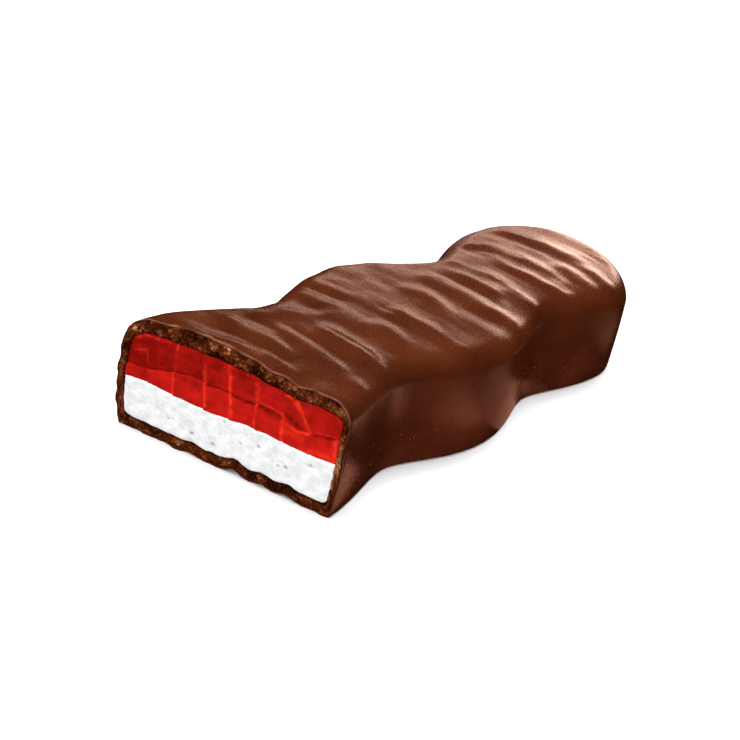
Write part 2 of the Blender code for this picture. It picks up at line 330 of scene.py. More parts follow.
@dataclass(frozen=True)
class BarForm:
    """Plan, section and cut of the bar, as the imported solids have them, in millimetres.

    y starts at the middle lobe, and the shift moves it to the frame's origin. A pair for the
    sides holds the right side's value first.

    Attributes:
        pitch: distance from lobe to lobe.
        lobes: half widths of the near, middle and far lobe, for each side.
        waists: half widths of the near and far waist, for each side.
        left_shift: how much further along the left side's lobes lie.
        waist_softness: how round the waists are, from 0 for a sharp fold.
        end_reach: how far the round end reaches past the far lobe's middle.
        typical_half: half width that turns spacings into shares of the block.
        edge_height: height of the top above its edges.
        crown: how much higher the top is along its middle line.
        crown_x: x of that line.
        top_radius: radius of the upper edge on the right, the left, at the round end and, on
            the left, at the cut.
        cut_edge_reach: share of the length over which the radius at the cut turns into the left's.
        foot_radius: radius of the lower edge.
        core_foot_radius: radius of the filling's lower edge.
        bulge: how far the walls swell at half height, for each side.
        cut_y: y of the cut at x = 0 on the underside.
        cut_turn: how much further along the cut lies for each millimetre to the right.
        cut_lean: how much further along it lies for each millimetre up.
        coat_wall: thickness of the coating, for each side.
        coat_end: its thickness at the round end.
        coat_top: its thickness on top.
        coat_base: its thickness underneath.
        layer_level: height at which the jelly lies on the marshmallow.
        layer_wave: how far two slow waves move that level up and down.
        layer_turns: how fast they run across and along, in radians for each millimetre.
        layer_phase: where the one along starts, in radians.
        layer_grain: finer wandering of the level.
        ridge_taper: length over which a ridge's ends fade out.
        ridge_margin: distance in from the walls where the top's relief has its full height.
        ridge_wander: how the ridges wander along the bar.
        ridge_back: how much nearer to the cut they lie than their list says.
        ridge_strength: their height as a share of their list's.
        ridge_change: how that share changes from place to place.
        near_gain: what is added to it near the cut.
        near_band: y where that begins and where it is full.
        broad_ripples: broad ripples between the ridges.
        broad_height: their height at the far end, and what is added to it near the cut.
        broad_band: y where that begins and where it is full.
        fine_ripples: fine ripples.
        fine_share: share of them that shows everywhere.
        fine_change: how that share changes from place to place.
        troughs: x and depth of the underside's troughs near the cut.
        trough_width: their width.
        trough_end: y where they have faded out.
        top_troughs: x and depth of the top's troughs near the cut.
        top_trough_width: their width.
        top_trough_end: y where they have faded out.
        settle_steps: how often a point's place is worked out again from its last one.
    """

    pitch: float = 30.4
    lobes: tuple = ((14.6, 15.3, 14.1), (16.0, 14.8, 12.6))
    waists: tuple = ((11.6, 11.5), (10.7, 8.2))
    left_shift: float = -2.2
    waist_softness: float = 0.35
    end_reach: float = 12.3
    typical_half: float = 14.0
    edge_height: float = 14.4
    crown: float = 1.1
    crown_x: float = -2.5
    top_radius: tuple = (2.2, 3.7, 5.0, 3.1)
    cut_edge_reach: float = 0.15
    foot_radius: float = 0.4
    core_foot_radius: float = 1.0
    bulge: tuple = (0.2, 0.8)
    cut_y: float = -31.5
    cut_turn: float = 0.246
    cut_lean: float = 0.089
    coat_wall: tuple = (0.75, 1.15)
    coat_end: float = 1.15
    coat_top: float = 1.65
    coat_base: float = 1.55
    layer_level: float = 7.0
    layer_wave: float = 0.15
    layer_turns: tuple = (0.42, 0.26)
    layer_phase: float = 1.0
    layer_grain: SoftNoise = SoftNoise(2.6, seed=6, height=0.06)
    ridge_taper: float = 3.0
    ridge_margin: float = 1.0
    ridge_wander: tuple = (SoftNoise(7.0, seed=3, height=0.26), SoftNoise(2.6, seed=4, height=0.08))
    ridge_back: float = 0.25
    ridge_strength: float = 1.1
    ridge_change: SoftNoise = SoftNoise(5.0, seed=5, height=0.35)
    near_gain: float = 0.6
    near_band: tuple = (-8.0, -15.0)
    broad_ripples: SoftNoise = SoftNoise(4.5, seed=11, stretch=5.0)
    broad_height: tuple = (0.05, 0.045)
    broad_band: tuple = (14.0, 4.0)
    fine_ripples: SoftNoise = SoftNoise(1.7, seed=12, height=0.026, stretch=7.0)
    fine_share: float = 0.6
    fine_change: SoftNoise = SoftNoise(9.0, seed=13, height=0.4)
    troughs: tuple = ((-4.8, 0.2), (1.2, 0.6), (5.0, 0.3), (8.5, 0.4))
    trough_width: float = 1.1
    trough_end: float = -13.0
    top_troughs: tuple = ((4.0, 0.45), (7.5, 0.75))
    top_trough_width: float = 1.7
    top_trough_end: float = -23.0
    settle_steps: int = 5

    def half_width(self, y: np.ndarray, right: np.ndarray) -> np.ndarray:
        """Return the half width of one side.

        Args:
            y: places along the bar.
            right: whether each is on the right side.

        Returns:
            The half width at each place.
        """
        shift = np.where(right, 0.0, self.left_shift)
        place = np.minimum((y - shift) / self.pitch + 1.0, 2.0)
        nearest = np.clip(np.round(place), 0, 2).astype(int)
        between = np.clip(np.floor(place), 0, 1).astype(int)
        side = np.where(right, 0, 1)
        lobe = np.asarray(self.lobes)[side, nearest]
        waist = np.asarray(self.waists)[side, between]
        away = 2.0 * np.abs(place - nearest)
        soft = self.waist_softness
        swell = (np.hypot(np.cos(math.pi / 2.0 * away), soft) - soft) / (math.hypot(1.0, soft) - soft)
        return waist + (lobe - waist) * swell

    def wall_slope(self, y: np.ndarray, right: np.ndarray) -> np.ndarray:
        """Return how fast the half width changes along the bar."""
        step = self.pitch / 100.0
        return (self.half_width(y + step, right) - self.half_width(y - step, right)) / (2.0 * step)

    def ridges(self, x: np.ndarray, y: np.ndarray) -> np.ndarray:
        """Return the height of the blown ridges, with the wander that real ones have.

        Args:
            x: the points' places across.
            y: their places along.

        Returns:
            The height at each point.
        """
        wander = y + together(self.ridge_wander, x, y) + self.ridge_back
        near = self.near_gain * smooth(*self.near_band, y)
        strength = self.ridge_strength + self.ridge_change.at(x, y) + near
        return strength * sum(ridge.over(x, wander, self.ridge_taper) for ridge in RIDGES + FAINT_RIDGES)

    def ripples(self, x: np.ndarray, y: np.ndarray) -> np.ndarray:
        """Return the finer ripples between the ridges.

        Args:
            x: the points' places across.
            y: their places along.

        Returns:
            The height at each point.
        """
        far_height, near_gain = self.broad_height
        broad = (far_height + near_gain * smooth(*self.broad_band, y)) * self.broad_ripples.at(x, y)
        return broad + self.fine_ripples.at(x, y) * (self.fine_share + self.fine_change.at(x, y))

    def trough_depth(self, x: np.ndarray, y: np.ndarray, places: tuple, width: float,
                     end: float) -> np.ndarray:
        """Return how deep a row of troughs is, which start at the cut and fade out."""
        fade = 1.0 - smooth(self.cut_y, end, y)
        return fade * sum(depth * hump(x, place, width) for place, depth in places)

    def under(self, x: np.ndarray, y: np.ndarray) -> np.ndarray:
        """Return how far the underside rises in its troughs near the cut."""
        return self.trough_depth(x, y, self.troughs, self.trough_width, self.trough_end)

    def edge_radius(self, radius: tuple, u: np.ndarray, v: np.ndarray) -> np.ndarray:
        """Return the radius of the rounded upper edge.

        Args:
            radius: a layer's radii, on the right, the left, at the round end and at the cut.
            u: place across, from -1 to 1.
            v: place along, from the cut at 0 to the end at 2.

        Returns:
            The radius next to each place.
        """
        right, plain_left, end, cut_left = radius
        left = cut_left + (plain_left - cut_left) * smooth(0.0, self.cut_edge_reach, v)
        beside = left + (right - left) * (0.5 + 0.5 * u)
        return beside + (end - beside) * np.maximum(v - 1.0, 0.0)

    def plain_roof(self, x: np.ndarray, y: np.ndarray) -> np.ndarray:
        """Return the crowned top with its troughs and without its ridges.

        Args:
            x: the points' places across.
            y: their places along.

        Returns:
            The height at each point.
        """
        half = self.half_width(y, x > self.crown_x)
        across = np.minimum(np.abs(x - self.crown_x) / (half + abs(self.crown_x)), 1.0)
        dip = self.trough_depth(x, y, self.top_troughs, self.top_trough_width, self.top_trough_end)
        return self.edge_height + self.crown * (1.0 - across * across) - dip

    def level(self, x: np.ndarray, y: np.ndarray) -> np.ndarray:
        """Return the height at which the jelly lies on the marshmallow.

        Args:
            x: the points' places across.
            y: their places along.

        Returns:
            The height at each point.
        """
        turn_x, turn_y = self.layer_turns
        wave = self.layer_wave * (np.sin(x * turn_x) + np.sin(y * turn_y + self.layer_phase))
        return self.layer_level + wave + self.layer_grain.at(x, 0.0 * x)

    def ridged_roof(self, x: np.ndarray, y: np.ndarray, inward: np.ndarray) -> np.ndarray:
        """Return the top with its ridges and ripples, which fade out towards the walls."""
        relief = self.ridges(x, y) + self.ripples(x, y)
        return self.plain_roof(x, y) + relief * smooth(0.0, self.ridge_margin, inward)

    def coating(self) -> Layer:
        """Return the outside of the coating."""
        return Layer((0.0, 0.0), 0.0, self.under, self.ridged_roof, self.top_radius, self.foot_radius)

    def core(self, spread: float = 0.0) -> Layer:
        """Return what the coating holds.

        Args:
            spread: how far it is spread outwards, in millimetres.

        Returns:
            The layer of jelly and marshmallow together.
        """
        return Layer(
            inset=tuple(wall - spread for wall in self.coat_wall),
            end_inset=self.coat_end - spread,
            floor=lambda x, y: self.coat_base - spread + self.under(x, y),
            roof=lambda x, y, _inward: self.plain_roof(x, y) - self.coat_top + spread,
            top_radius=tuple(radius - self.coat_top for radius in self.top_radius),
            foot_radius=self.core_foot_radius)

    def jelly(self, spread: float) -> Layer:
        """Return the jelly layer, spread outwards a little."""
        return replace(self.core(spread), floor=self.level, foot_radius=0.0)

    def marshmallow(self, spread: float) -> Layer:
        """Return the marshmallow layer, spread outwards a little."""
        flat = (0.0, 0.0, 0.0, 0.0)
        return replace(self.core(spread), roof=lambda x, y, _inward: self.level(x, y), top_radius=flat)

    def lay(self, layer: Layer, u: np.ndarray, v: np.ndarray, w: np.ndarray) -> np.ndarray:
        """Lay points of a unit block over the plan.

        Args:
            layer: the layer whose surface the points take.
            u: place across, from -1 to 1.
            v: place along, from the cut at 0 over the far lobe at 1 to the end at 2.
            w: place up, from 0 to 1.

        Returns:
            Points in millimetres, one row each.
        """
        right = u >= 0.0
        round_part = np.maximum(v - 1.0, 0.0)
        disc_u = u * np.sqrt(1.0 - round_part ** 2 / 2.0)
        disc_v = round_part * np.sqrt(1.0 - u ** 2 / 2.0)
        out = np.hypot(disc_u, disc_v)
        reach = self.end_reach - layer.end_inset
        inset = np.where(right, *layer.inset)
        bulge = self.bulge[1] + (self.bulge[0] - self.bulge[1]) * (0.5 + 0.5 * u)
        x, z = u * self.typical_half, w * self.edge_height
        y = v * self.pitch
        for _step in range(self.settle_steps):
            start = self.cut_y + self.cut_turn * x + self.cut_lean * z
            along = start + np.minimum(v, 1.0) * (self.pitch - start)
            steep = np.hypot(1.0, self.wall_slope(along, right))
            half = self.half_width(along, right) - inset * steep
            outward = np.hypot(disc_u * half, disc_v * reach) / np.maximum(out, TINY)
            inward = (1.0 - out) * np.where(out > 0.0, outward, half) / steep
            up = 2.0 * z / self.edge_height - 1.0
            swell = 1.0 + bulge * (1.0 - up * up) / self.typical_half
            x = disc_u * half * swell
            y = along + disc_v * reach * swell
            low = layer.floor(x, y) + rounded(layer.foot_radius, inward)
            high = layer.roof(x, y, inward) - rounded(self.edge_radius(layer.top_radius, u, v), inward)
            z = low + w * (high - low)
        return np.stack((x, y, z), axis=-1)

    def shift(self) -> np.ndarray:
        """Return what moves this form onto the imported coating.

        Returns:
            The move in millimetres. It brings the right wall and the round end to the solid's.
        """
        places = np.linspace(0.0, 1.0, 400)
        heights = np.linspace(0.0, 1.0, 9)
        v, w = np.meshgrid(places, heights)
        side = self.lay(self.coating(), np.ones(v.size), v.ravel(), w.ravel())
        end = self.lay(self.coating(), np.zeros(heights.size), np.full(heights.size, 2.0), heights)
        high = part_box("chocolate_coating")[1] / MM
        return np.array((high.x - side[:, 0].max(), high.y - end[:, 1].max(), 0.0))


@dataclass(frozen=True)
class BlockGrid:
    """Grid lines of a unit block.

    Attributes:
        u: places of the lines across, from -1 to 1.
        v: places along, from 0 to 2.
        w: places up, from 0 to 1.
    """

    u: np.ndarray
    v: np.ndarray
    w: np.ndarray

    @classmethod
    def spaced(cls, form: BarForm, radii: tuple, across: float, along: float, up: float) -> "BlockGrid":
        """Make a grid with real spacings and closer lines round the upper edges.

        Args:
            form: the bar.
            radii: radius of the upper edge on the right, the left and at the round end.
            across: spacing across in millimetres.
            along: spacing along in millimetres.
            up: spacing up in millimetres.

        Returns:
            The grid.
        """
        half = form.typical_half
        right, left, end = (cls.edge(radius, min(across, along)) / half for radius in radii[:3])
        flat = cls.run(left[-1] - 1.0, 1.0 - right[-1], across / half)
        u = np.unique(np.round(np.concatenate((flat, 1.0 - right, left - 1.0)), 9))
        straight = cls.run(0.0, 1.0, along / (form.pitch - form.cut_y))
        bent = cls.run(1.0, 2.0 - end[-1], along / form.end_reach)
        v = np.unique(np.round(np.concatenate((straight, bent, 2.0 - end)), 9))
        return cls(u, v, cls.run(0.0, 1.0, up / form.edge_height))

    @staticmethod
    def edge(radius: float, spacing: float) -> np.ndarray:
        """Return how far in from a wall the lines of a rounded edge lie."""
        rows = max(int(math.pi / 2.0 * radius / spacing), 1)
        return radius * (1.0 - np.cos(np.linspace(0.0, math.pi / 2.0, rows + 1)))

    @staticmethod
    def run(low: float, high: float, spacing: float) -> np.ndarray:
        """Return even lines between two values."""
        return np.linspace(low, high, max(int((high - low) / spacing), 2) + 1)

    def surface(self, open_front: bool) -> tuple[np.ndarray, np.ndarray, np.ndarray, np.ndarray]:
        """Return the surface of the block.

        Args:
            open_front: whether the face at the cut is left out.

        Returns:
            u, v and w of the surface's points, and its quads, which face out.
        """
        lines = (self.u, self.v, self.w)
        counts = [len(line) - 1 for line in lines]
        quads = []
        for axis in range(3):
            b, c = (axis + 1) % 3, (axis + 2) % 3
            at_b, at_c = np.meshgrid(np.arange(counts[b]), np.arange(counts[c]), indexing="ij")
            for end in (0, 1):
                if open_front and axis == 1 and end == 0:
                    continue
                corners = []
                for step_b, step_c in ((0, 0), (1, 0), (1, 1), (0, 1)):
                    corner = np.zeros((at_b.size, 3), int)
                    corner[:, axis] = end * counts[axis]
                    corner[:, b] = at_b.ravel() + step_b
                    corner[:, c] = at_c.ravel() + step_c
                    corners.append(corner)
                quads.append(np.stack(corners if end else corners[::-1], axis=1))
        corners = np.concatenate(quads)
        sizes = [count + 1 for count in counts]
        keys = (corners[..., 0] * sizes[1] + corners[..., 1]) * sizes[2] + corners[..., 2]
        used, faces = np.unique(keys, return_inverse=True)
        k = used % sizes[2]
        j = used // sizes[2] % sizes[1]
        i = used // (sizes[1] * sizes[2])
        return self.u[i], self.v[j], self.w[k], faces.reshape(keys.shape)

    def front_loop(self) -> tuple[np.ndarray, np.ndarray]:
        """Return the front face's border, counter-clockwise seen from the front.

        Returns:
            u and w of its points.
        """
        across, up = len(self.u) - 1, len(self.w) - 1
        u = np.concatenate((self.u[:-1], np.full(up, 1.0), self.u[:0:-1], np.full(up, -1.0)))
        w = np.concatenate((np.zeros(across), self.w[:-1], np.ones(across), self.w[:0:-1]))
        return u, w


def band_faces(columns: int, rows: int, closed_rows: bool) -> np.ndarray:
    """Make the quads of a band of rows round a closed loop of columns.

    Args:
        columns: number of points in each row.
        rows: number of rows.
        closed_rows: whether the last row joins the first.

    Returns:
        The quads, as rows of point indices.
    """
    row_count = rows if closed_rows else rows - 1
    row, column = np.meshgrid(np.arange(row_count), np.arange(columns), indexing="ij")
    here, above = row * columns, (row + 1) % rows * columns
    following = (column + 1) % columns
    quad = (here + column, here + following, above + following, above + column)
    return np.stack([corner.ravel() for corner in quad], axis=1)


@dataclass
class Piece:
    """A finished mesh piece of the bar.

    Attributes:
        name: the object's name.
        points: points in millimetres, one row each.
        faces: quads as rows of point indices.
        notes: numbers kept on the points, by attribute name.
    """

    name: str
    points: np.ndarray
    faces: np.ndarray
    notes: dict[str, np.ndarray] = field(default_factory=dict)

    def make(self, material: bpy.types.Material, slot: Slot) -> bpy.types.Object:
        """Make the object, and let it ride on the bar.

        Args:
            material: what it is made of.
            slot: its material slot in the record; not used.

        Returns:
            The new object.
        """
        mesh = bpy.data.meshes.new(self.name)
        mesh.from_pydata((self.points * MM).tolist(), [], self.faces.tolist())
        for note, values in self.notes.items():
            mesh.attributes.new(note, "FLOAT", "POINT").data.foreach_set("value", values.astype(np.float32))
        mesh.materials.append(material)
        mesh.validate()
        weld(mesh)
        mesh.shade_smooth()
        made = bpy.data.objects.new(self.name, mesh)
        bpy.context.scene.collection.objects.link(made)
        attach(made, "root")
        LOG.info("%s: %d faces", self.name, len(mesh.polygons))
        return made


def weld(mesh: bpy.types.Mesh, distance: float = 1e-6) -> None:
    """Merge points that fall together, and point the faces outwards.

    Args:
        mesh: the mesh that is changed.
        distance: how close points fall together, in metres.
    """
    work = bmesh.new()
    work.from_mesh(mesh)
    bmesh.ops.remove_doubles(work, verts=work.verts[:], dist=distance)
    bmesh.ops.recalc_face_normals(work, faces=work.faces[:])
    work.to_mesh(mesh)
    work.free()


def texture_scale(size: float) -> float:
    """Return the scale of a texture whose pattern is this many millimetres across."""
    return 1.0 / (size * MM)


@dataclass(frozen=True)
class Finish:
    """A finish that a material is made from.

    Attributes:
        name: the material's name.
    """

    name: str

    def paint(self, tree: bpy.types.NodeTree, shader: bpy.types.Node) -> None:
        """Add the finish's nodes.

        Args:
            tree: the material's node tree.
            shader: the Principled node in it.
        """

    def material(self) -> bpy.types.Material:
        """Make a new material with this finish.

        Returns:
            The material.
        """
        material = bpy.data.materials.new(self.name)
        material.use_nodes = True
        self.paint(material.node_tree, material.node_tree.nodes["Principled BSDF"])
        return material


@dataclass(frozen=True)
class EnrobedChocolate(Finish):
    """Milk chocolate poured over the filling and set in a cold tunnel.

    Attributes:
        name: the material's name.
        body: brown of the top.
        deep: darkest brown of its patches.
        wall: deeper brown painted on the walls, as painted shade.
        foot: lighter brown painted low on the walls, as painted light bounced from the floor.
        edge: pale brown painted on the skin's edge at the cut, as a painted highlight.
        glint: tint of its glints.
        patch: size of the patches in millimetres.
        grain: size of the grain.
        grain_share: how much the grain adds to the patches.
        patch_range: patchiness where the brown is darkest and where it is plain.
        wall_range: upward part of the normal where a wall begins and where it is steep.
        floor_light_heights: heights between which the walls' painted shade turns into the painted floor
            light low on them.
        satin: roughness between the grains and on them.
        wall_polish: how much smoother the walls are.
        streak: size of the streaks.
        streak_stretch: how the pattern of streaks is squeezed along x, y and z.
        streak_relief: strength of the streaks' relief, and its height.
        grain_relief: the same for the grain.
        bending: index of refraction, low because the skin is only satin.
    """

    # Cocoa butter sets to a satin skin: warm brown, soft glints on top, smoother walls painted a deeper
    # brown as painted shade and lighter low down as painted floor light.
    name: str = "milk_chocolate_enrobed"
    body: str = "#4a200e"
    deep: str = "#371507"
    wall: str = "#4c1d0b"
    foot: str = "#602817"
    edge: str = "#8a5a44"
    glint: str = "#ffb08c"
    patch: float = 7.0
    grain: float = 0.22
    grain_share: float = 0.5
    patch_range: tuple = (0.50, 0.95)
    wall_range: tuple = (0.75, 0.15)
    floor_light_heights: tuple = (8.0, 1.0)
    satin: tuple = (0.22, 0.32)
    wall_polish: float = 0.06
    streak: float = 0.9
    streak_stretch: tuple = (0.16, 1.0, 0.5)
    streak_relief: tuple = (0.5, 0.05)
    grain_relief: tuple = (1.0, 0.04)
    bending: float = 1.20

    def paint(self, tree: bpy.types.NodeTree, shader: bpy.types.Node) -> None:
        """Add the patchy brown, the walls' painted shade with painted floor light low on them, the painted
        highlight on the skin's edge, the grain and the fine streaks.

        Args:
            tree: the material's node tree.
            shader: the Principled node in it.
        """
        where = add_node(tree, "ShaderNodeTexCoord").outputs
        place = where["Object"]
        patches = add_node(tree, "ShaderNodeTexNoise", {"Scale": texture_scale(self.patch), "Detail": 3.0},
                           {"Vector": place})
        grains = add_node(tree, "ShaderNodeTexNoise", {"Scale": texture_scale(self.grain), "Detail": 2.0},
                          {"Vector": place})
        both = add_node(tree, "ShaderNodeMath", {"operation": "MULTIPLY_ADD", 1: self.grain_share},
                        {0: grains.outputs["Fac"], 2: patches.outputs["Fac"]})
        steepness = add_node(tree, "ShaderNodeSeparateXYZ", {}, {0: where["Normal"]})
        height = add_node(tree, "ShaderNodeSeparateXYZ", {}, {0: place})
        shares = []
        for (start, full), value in ((self.patch_range, both.outputs[0]),
                                     (self.wall_range, steepness.outputs["Z"]),
                                     ((end * MM for end in self.floor_light_heights), height.outputs["Z"])):
            share = add_node(tree, "ShaderNodeMapRange", {"From Min": start, "From Max": full},
                             {"Value": value})
            shares.append(share.outputs[0])
        plain, walls, low = shares
        foot = add_node(tree, "ShaderNodeMath", {"operation": "MULTIPLY"}, {0: low, 1: walls})
        # Painted shade: the walls take a deeper brown than the top.
        skin = add_node(tree, "ShaderNodeMix", {"data_type": "RGBA", 6: srgb(self.body), 7: srgb(self.wall)},
                        {0: walls})
        # Painted light: the walls turn lighter low down, standing in for light from the floor.
        floor_lit = add_node(tree, "ShaderNodeMix", {"data_type": "RGBA", 7: srgb(self.foot)},
                          {0: foot.outputs[0], 6: skin.outputs[2]})
        grained = add_node(tree, "ShaderNodeMix", {"data_type": "RGBA", 6: srgb(self.deep)},
                           {0: plain, 7: floor_lit.outputs[2]})
        # Painted highlight: a pale line on the skin's edge at the cut.
        edge = add_node(tree, "ShaderNodeAttribute", {"attribute_name": "edge"})
        colour = add_node(tree, "ShaderNodeMix", {"data_type": "RGBA", 7: srgb(self.edge)},
                          {0: edge.outputs["Fac"], 6: grained.outputs[2]})
        tree.links.new(colour.outputs[2], shader.inputs["Base Color"])
        smoothest, roughest = self.satin
        satin = add_node(tree, "ShaderNodeMapRange", {"To Min": smoothest, "To Max": roughest},
                         {"Value": grains.outputs["Fac"]})
        rough = add_node(tree, "ShaderNodeMath", {"operation": "MULTIPLY_ADD", 1: -self.wall_polish},
                         {0: walls, 2: satin.outputs[0]})
        tree.links.new(rough.outputs[0], shader.inputs["Roughness"])
        drawn = add_node(tree, "ShaderNodeMapping", {"Scale": self.streak_stretch}, {"Vector": place})
        streaks = add_node(tree, "ShaderNodeTexNoise", {"Scale": texture_scale(self.streak), "Detail": 3.0},
                           {"Vector": drawn.outputs[0]})
        relief = None
        for (strength, distance), pattern in ((self.streak_relief, streaks), (self.grain_relief, grains)):
            links = {"Height": pattern.outputs["Fac"]}
            if relief:
                links["Normal"] = relief.outputs[0]
            relief = add_node(tree, "ShaderNodeBump", {"Strength": strength, "Distance": distance * MM},
                              links)
        tree.links.new(relief.outputs[0], shader.inputs["Normal"])
        shader.inputs["IOR"].default_value = self.bending
        shader.inputs["Specular Tint"].default_value = srgb(self.glint)


@dataclass(frozen=True)
class BrokenChocolate(Finish):
    """The same chocolate where it was cut: crumbly, matt and flecked.

    Attributes:
        name: the material's name.
        tones: its browns, each with the tone that gives it.
        grit: size of the grit in millimetres.
        unevenness: how far the grit moves the tone.
        grit_relief: strength of the grit's relief, and its height.
        roughness: how matt it is.
        bending: index of refraction, low because crumbs hardly glint.
    """

    # A broken face scatters light: brown chunks and golden crumbs, its hollows painted nearly black as
    # painted shade.
    name: str = "milk_chocolate_broken"
    tones: tuple = ((0.0, "#1a0601"), (0.35, "#421809"), (0.6, "#622e13"), (0.8, "#824a28"),
                    (1.0, "#ab7650"))
    grit: float = 0.17
    unevenness: float = 0.6
    grit_relief: tuple = (0.8, 0.06)
    roughness: float = 0.6
    bending: float = 1.15

    def paint(self, tree: bpy.types.NodeTree, shader: bpy.types.Node) -> None:
        """Colour it by the tone kept on its points, and roughen it.

        Args:
            tree: the material's node tree.
            shader: the Principled node in it.
        """
        place = add_node(tree, "ShaderNodeTexCoord").outputs["Object"]
        # On the rim the tone carries painted shade: darker in its hollows, under its lip and at its inner
        # edge.
        tone = add_node(tree, "ShaderNodeAttribute", {"attribute_name": "tone"})
        grit = add_node(tree, "ShaderNodeTexNoise", {"Scale": texture_scale(self.grit), "Detail": 2.0},
                        {"Vector": place})
        uneven = add_node(tree, "ShaderNodeMath",
                          {"operation": "MULTIPLY_ADD", 1: self.unevenness, 2: -self.unevenness / 2.0},
                          {0: grit.outputs["Fac"]})
        share = add_node(tree, "ShaderNodeMath", {"operation": "ADD", "use_clamp": True},
                         {0: tone.outputs["Fac"], 1: uneven.outputs[0]})
        colour = add_node(tree, "ShaderNodeValToRGB", {}, {"Fac": share.outputs[0]})
        stops = colour.color_ramp.elements
        for at, _code in self.tones[1:-1]:
            stops.new(at)
        for stop, (at, code) in zip(stops, self.tones):
            stop.position = at
            stop.color = srgb(code)
        tree.links.new(colour.outputs["Color"], shader.inputs["Base Color"])
        strength, distance = self.grit_relief
        relief = add_node(tree, "ShaderNodeBump", {"Strength": strength, "Distance": distance * MM},
                          {"Height": grit.outputs["Fac"]})
        tree.links.new(relief.outputs[0], shader.inputs["Normal"])
        shader.inputs["Roughness"].default_value = self.roughness
        shader.inputs["IOR"].default_value = self.bending


@dataclass(frozen=True)
class SetJelly(Finish):
    """Red fruit jelly, set firm and cut with a wet blade.

    Attributes:
        name: the material's name.
        deep: red where it is deep.
        clear: red where it is clear.
        painted_glow: bright red painted along the joints, veins and specks, as painted light.
        dark: dark red painted along the cracks and under the coating, as painted shade.
        cloud: size of its clouds in millimetres.
        cloudiness: how far the clouds move the red between deep and clear.
        cloud_relief: strength of the clouds' relief, and its height.
        roughness: how matt its wet face is.
        bending: index of refraction, low because the face hardly glints.
        inner_share: share of the light that goes in.
        inner_red: how far each colour of that light goes, as shares of the depth.
        inner_depth: that depth in millimetres.
    """

    # Light goes in and comes out red; the joints, veins and specks are painted brighter as painted light,
    # the cracks darker as painted shade.
    name: str = "red_jelly_set"
    deep: str = "#840e09"
    clear: str = "#c71d16"
    painted_glow: str = "#ff3a22"
    dark: str = "#3a0502"
    cloud: float = 1.6
    cloudiness: float = 1.5
    cloud_relief: tuple = (0.25, 0.08)
    roughness: float = 0.25
    bending: float = 1.10
    inner_share: float = 0.2
    inner_red: tuple = (1.0, 0.08, 0.06)
    inner_depth: float = 0.5

    def paint(self, tree: bpy.types.NodeTree, shader: bpy.types.Node) -> None:
        """Add the depth of red, the painted glow of the joints, the painted shade of the cracks and a little
        cloud.

        Args:
            tree: the material's node tree.
            shader: the Principled node in it.
        """
        place = add_node(tree, "ShaderNodeTexCoord").outputs["Object"]
        clouds = add_node(tree, "ShaderNodeTexNoise", {"Scale": texture_scale(self.cloud), "Detail": 5.0},
                          {"Vector": place})
        clear = add_node(tree, "ShaderNodeAttribute", {"attribute_name": "clear"})
        uneven = add_node(tree, "ShaderNodeMath",
                          {"operation": "MULTIPLY_ADD", 1: self.cloudiness, 2: -self.cloudiness / 2.0},
                          {0: clouds.outputs["Fac"]})
        share = add_node(tree, "ShaderNodeMath", {"operation": "ADD", "use_clamp": True},
                         {0: uneven.outputs[0], 1: clear.outputs["Fac"]})
        colour = add_node(tree, "ShaderNodeMix",
                          {"data_type": "RGBA", 6: srgb(self.deep), 7: srgb(self.clear)},
                          {0: share.outputs[0]})
        # Painted light along the joints and veins, painted shade along the cracks.
        for note, code in (("painted_glow", self.painted_glow), ("crack", self.dark)):
            mark = add_node(tree, "ShaderNodeAttribute", {"attribute_name": note})
            colour = add_node(tree, "ShaderNodeMix", {"data_type": "RGBA", 7: srgb(code)},
                              {0: mark.outputs["Fac"], 6: colour.outputs[2]})
        tree.links.new(colour.outputs[2], shader.inputs["Base Color"])
        strength, distance = self.cloud_relief
        relief = add_node(tree, "ShaderNodeBump", {"Strength": strength, "Distance": distance * MM},
                          {"Height": clouds.outputs["Fac"]})
        tree.links.new(relief.outputs[0], shader.inputs["Normal"])
        shader.inputs["Roughness"].default_value = self.roughness
        shader.inputs["IOR"].default_value = self.bending
        shader.inputs["Subsurface Weight"].default_value = self.inner_share
        shader.inputs["Subsurface Radius"].default_value = self.inner_red
        shader.inputs["Subsurface Scale"].default_value = self.inner_depth * MM


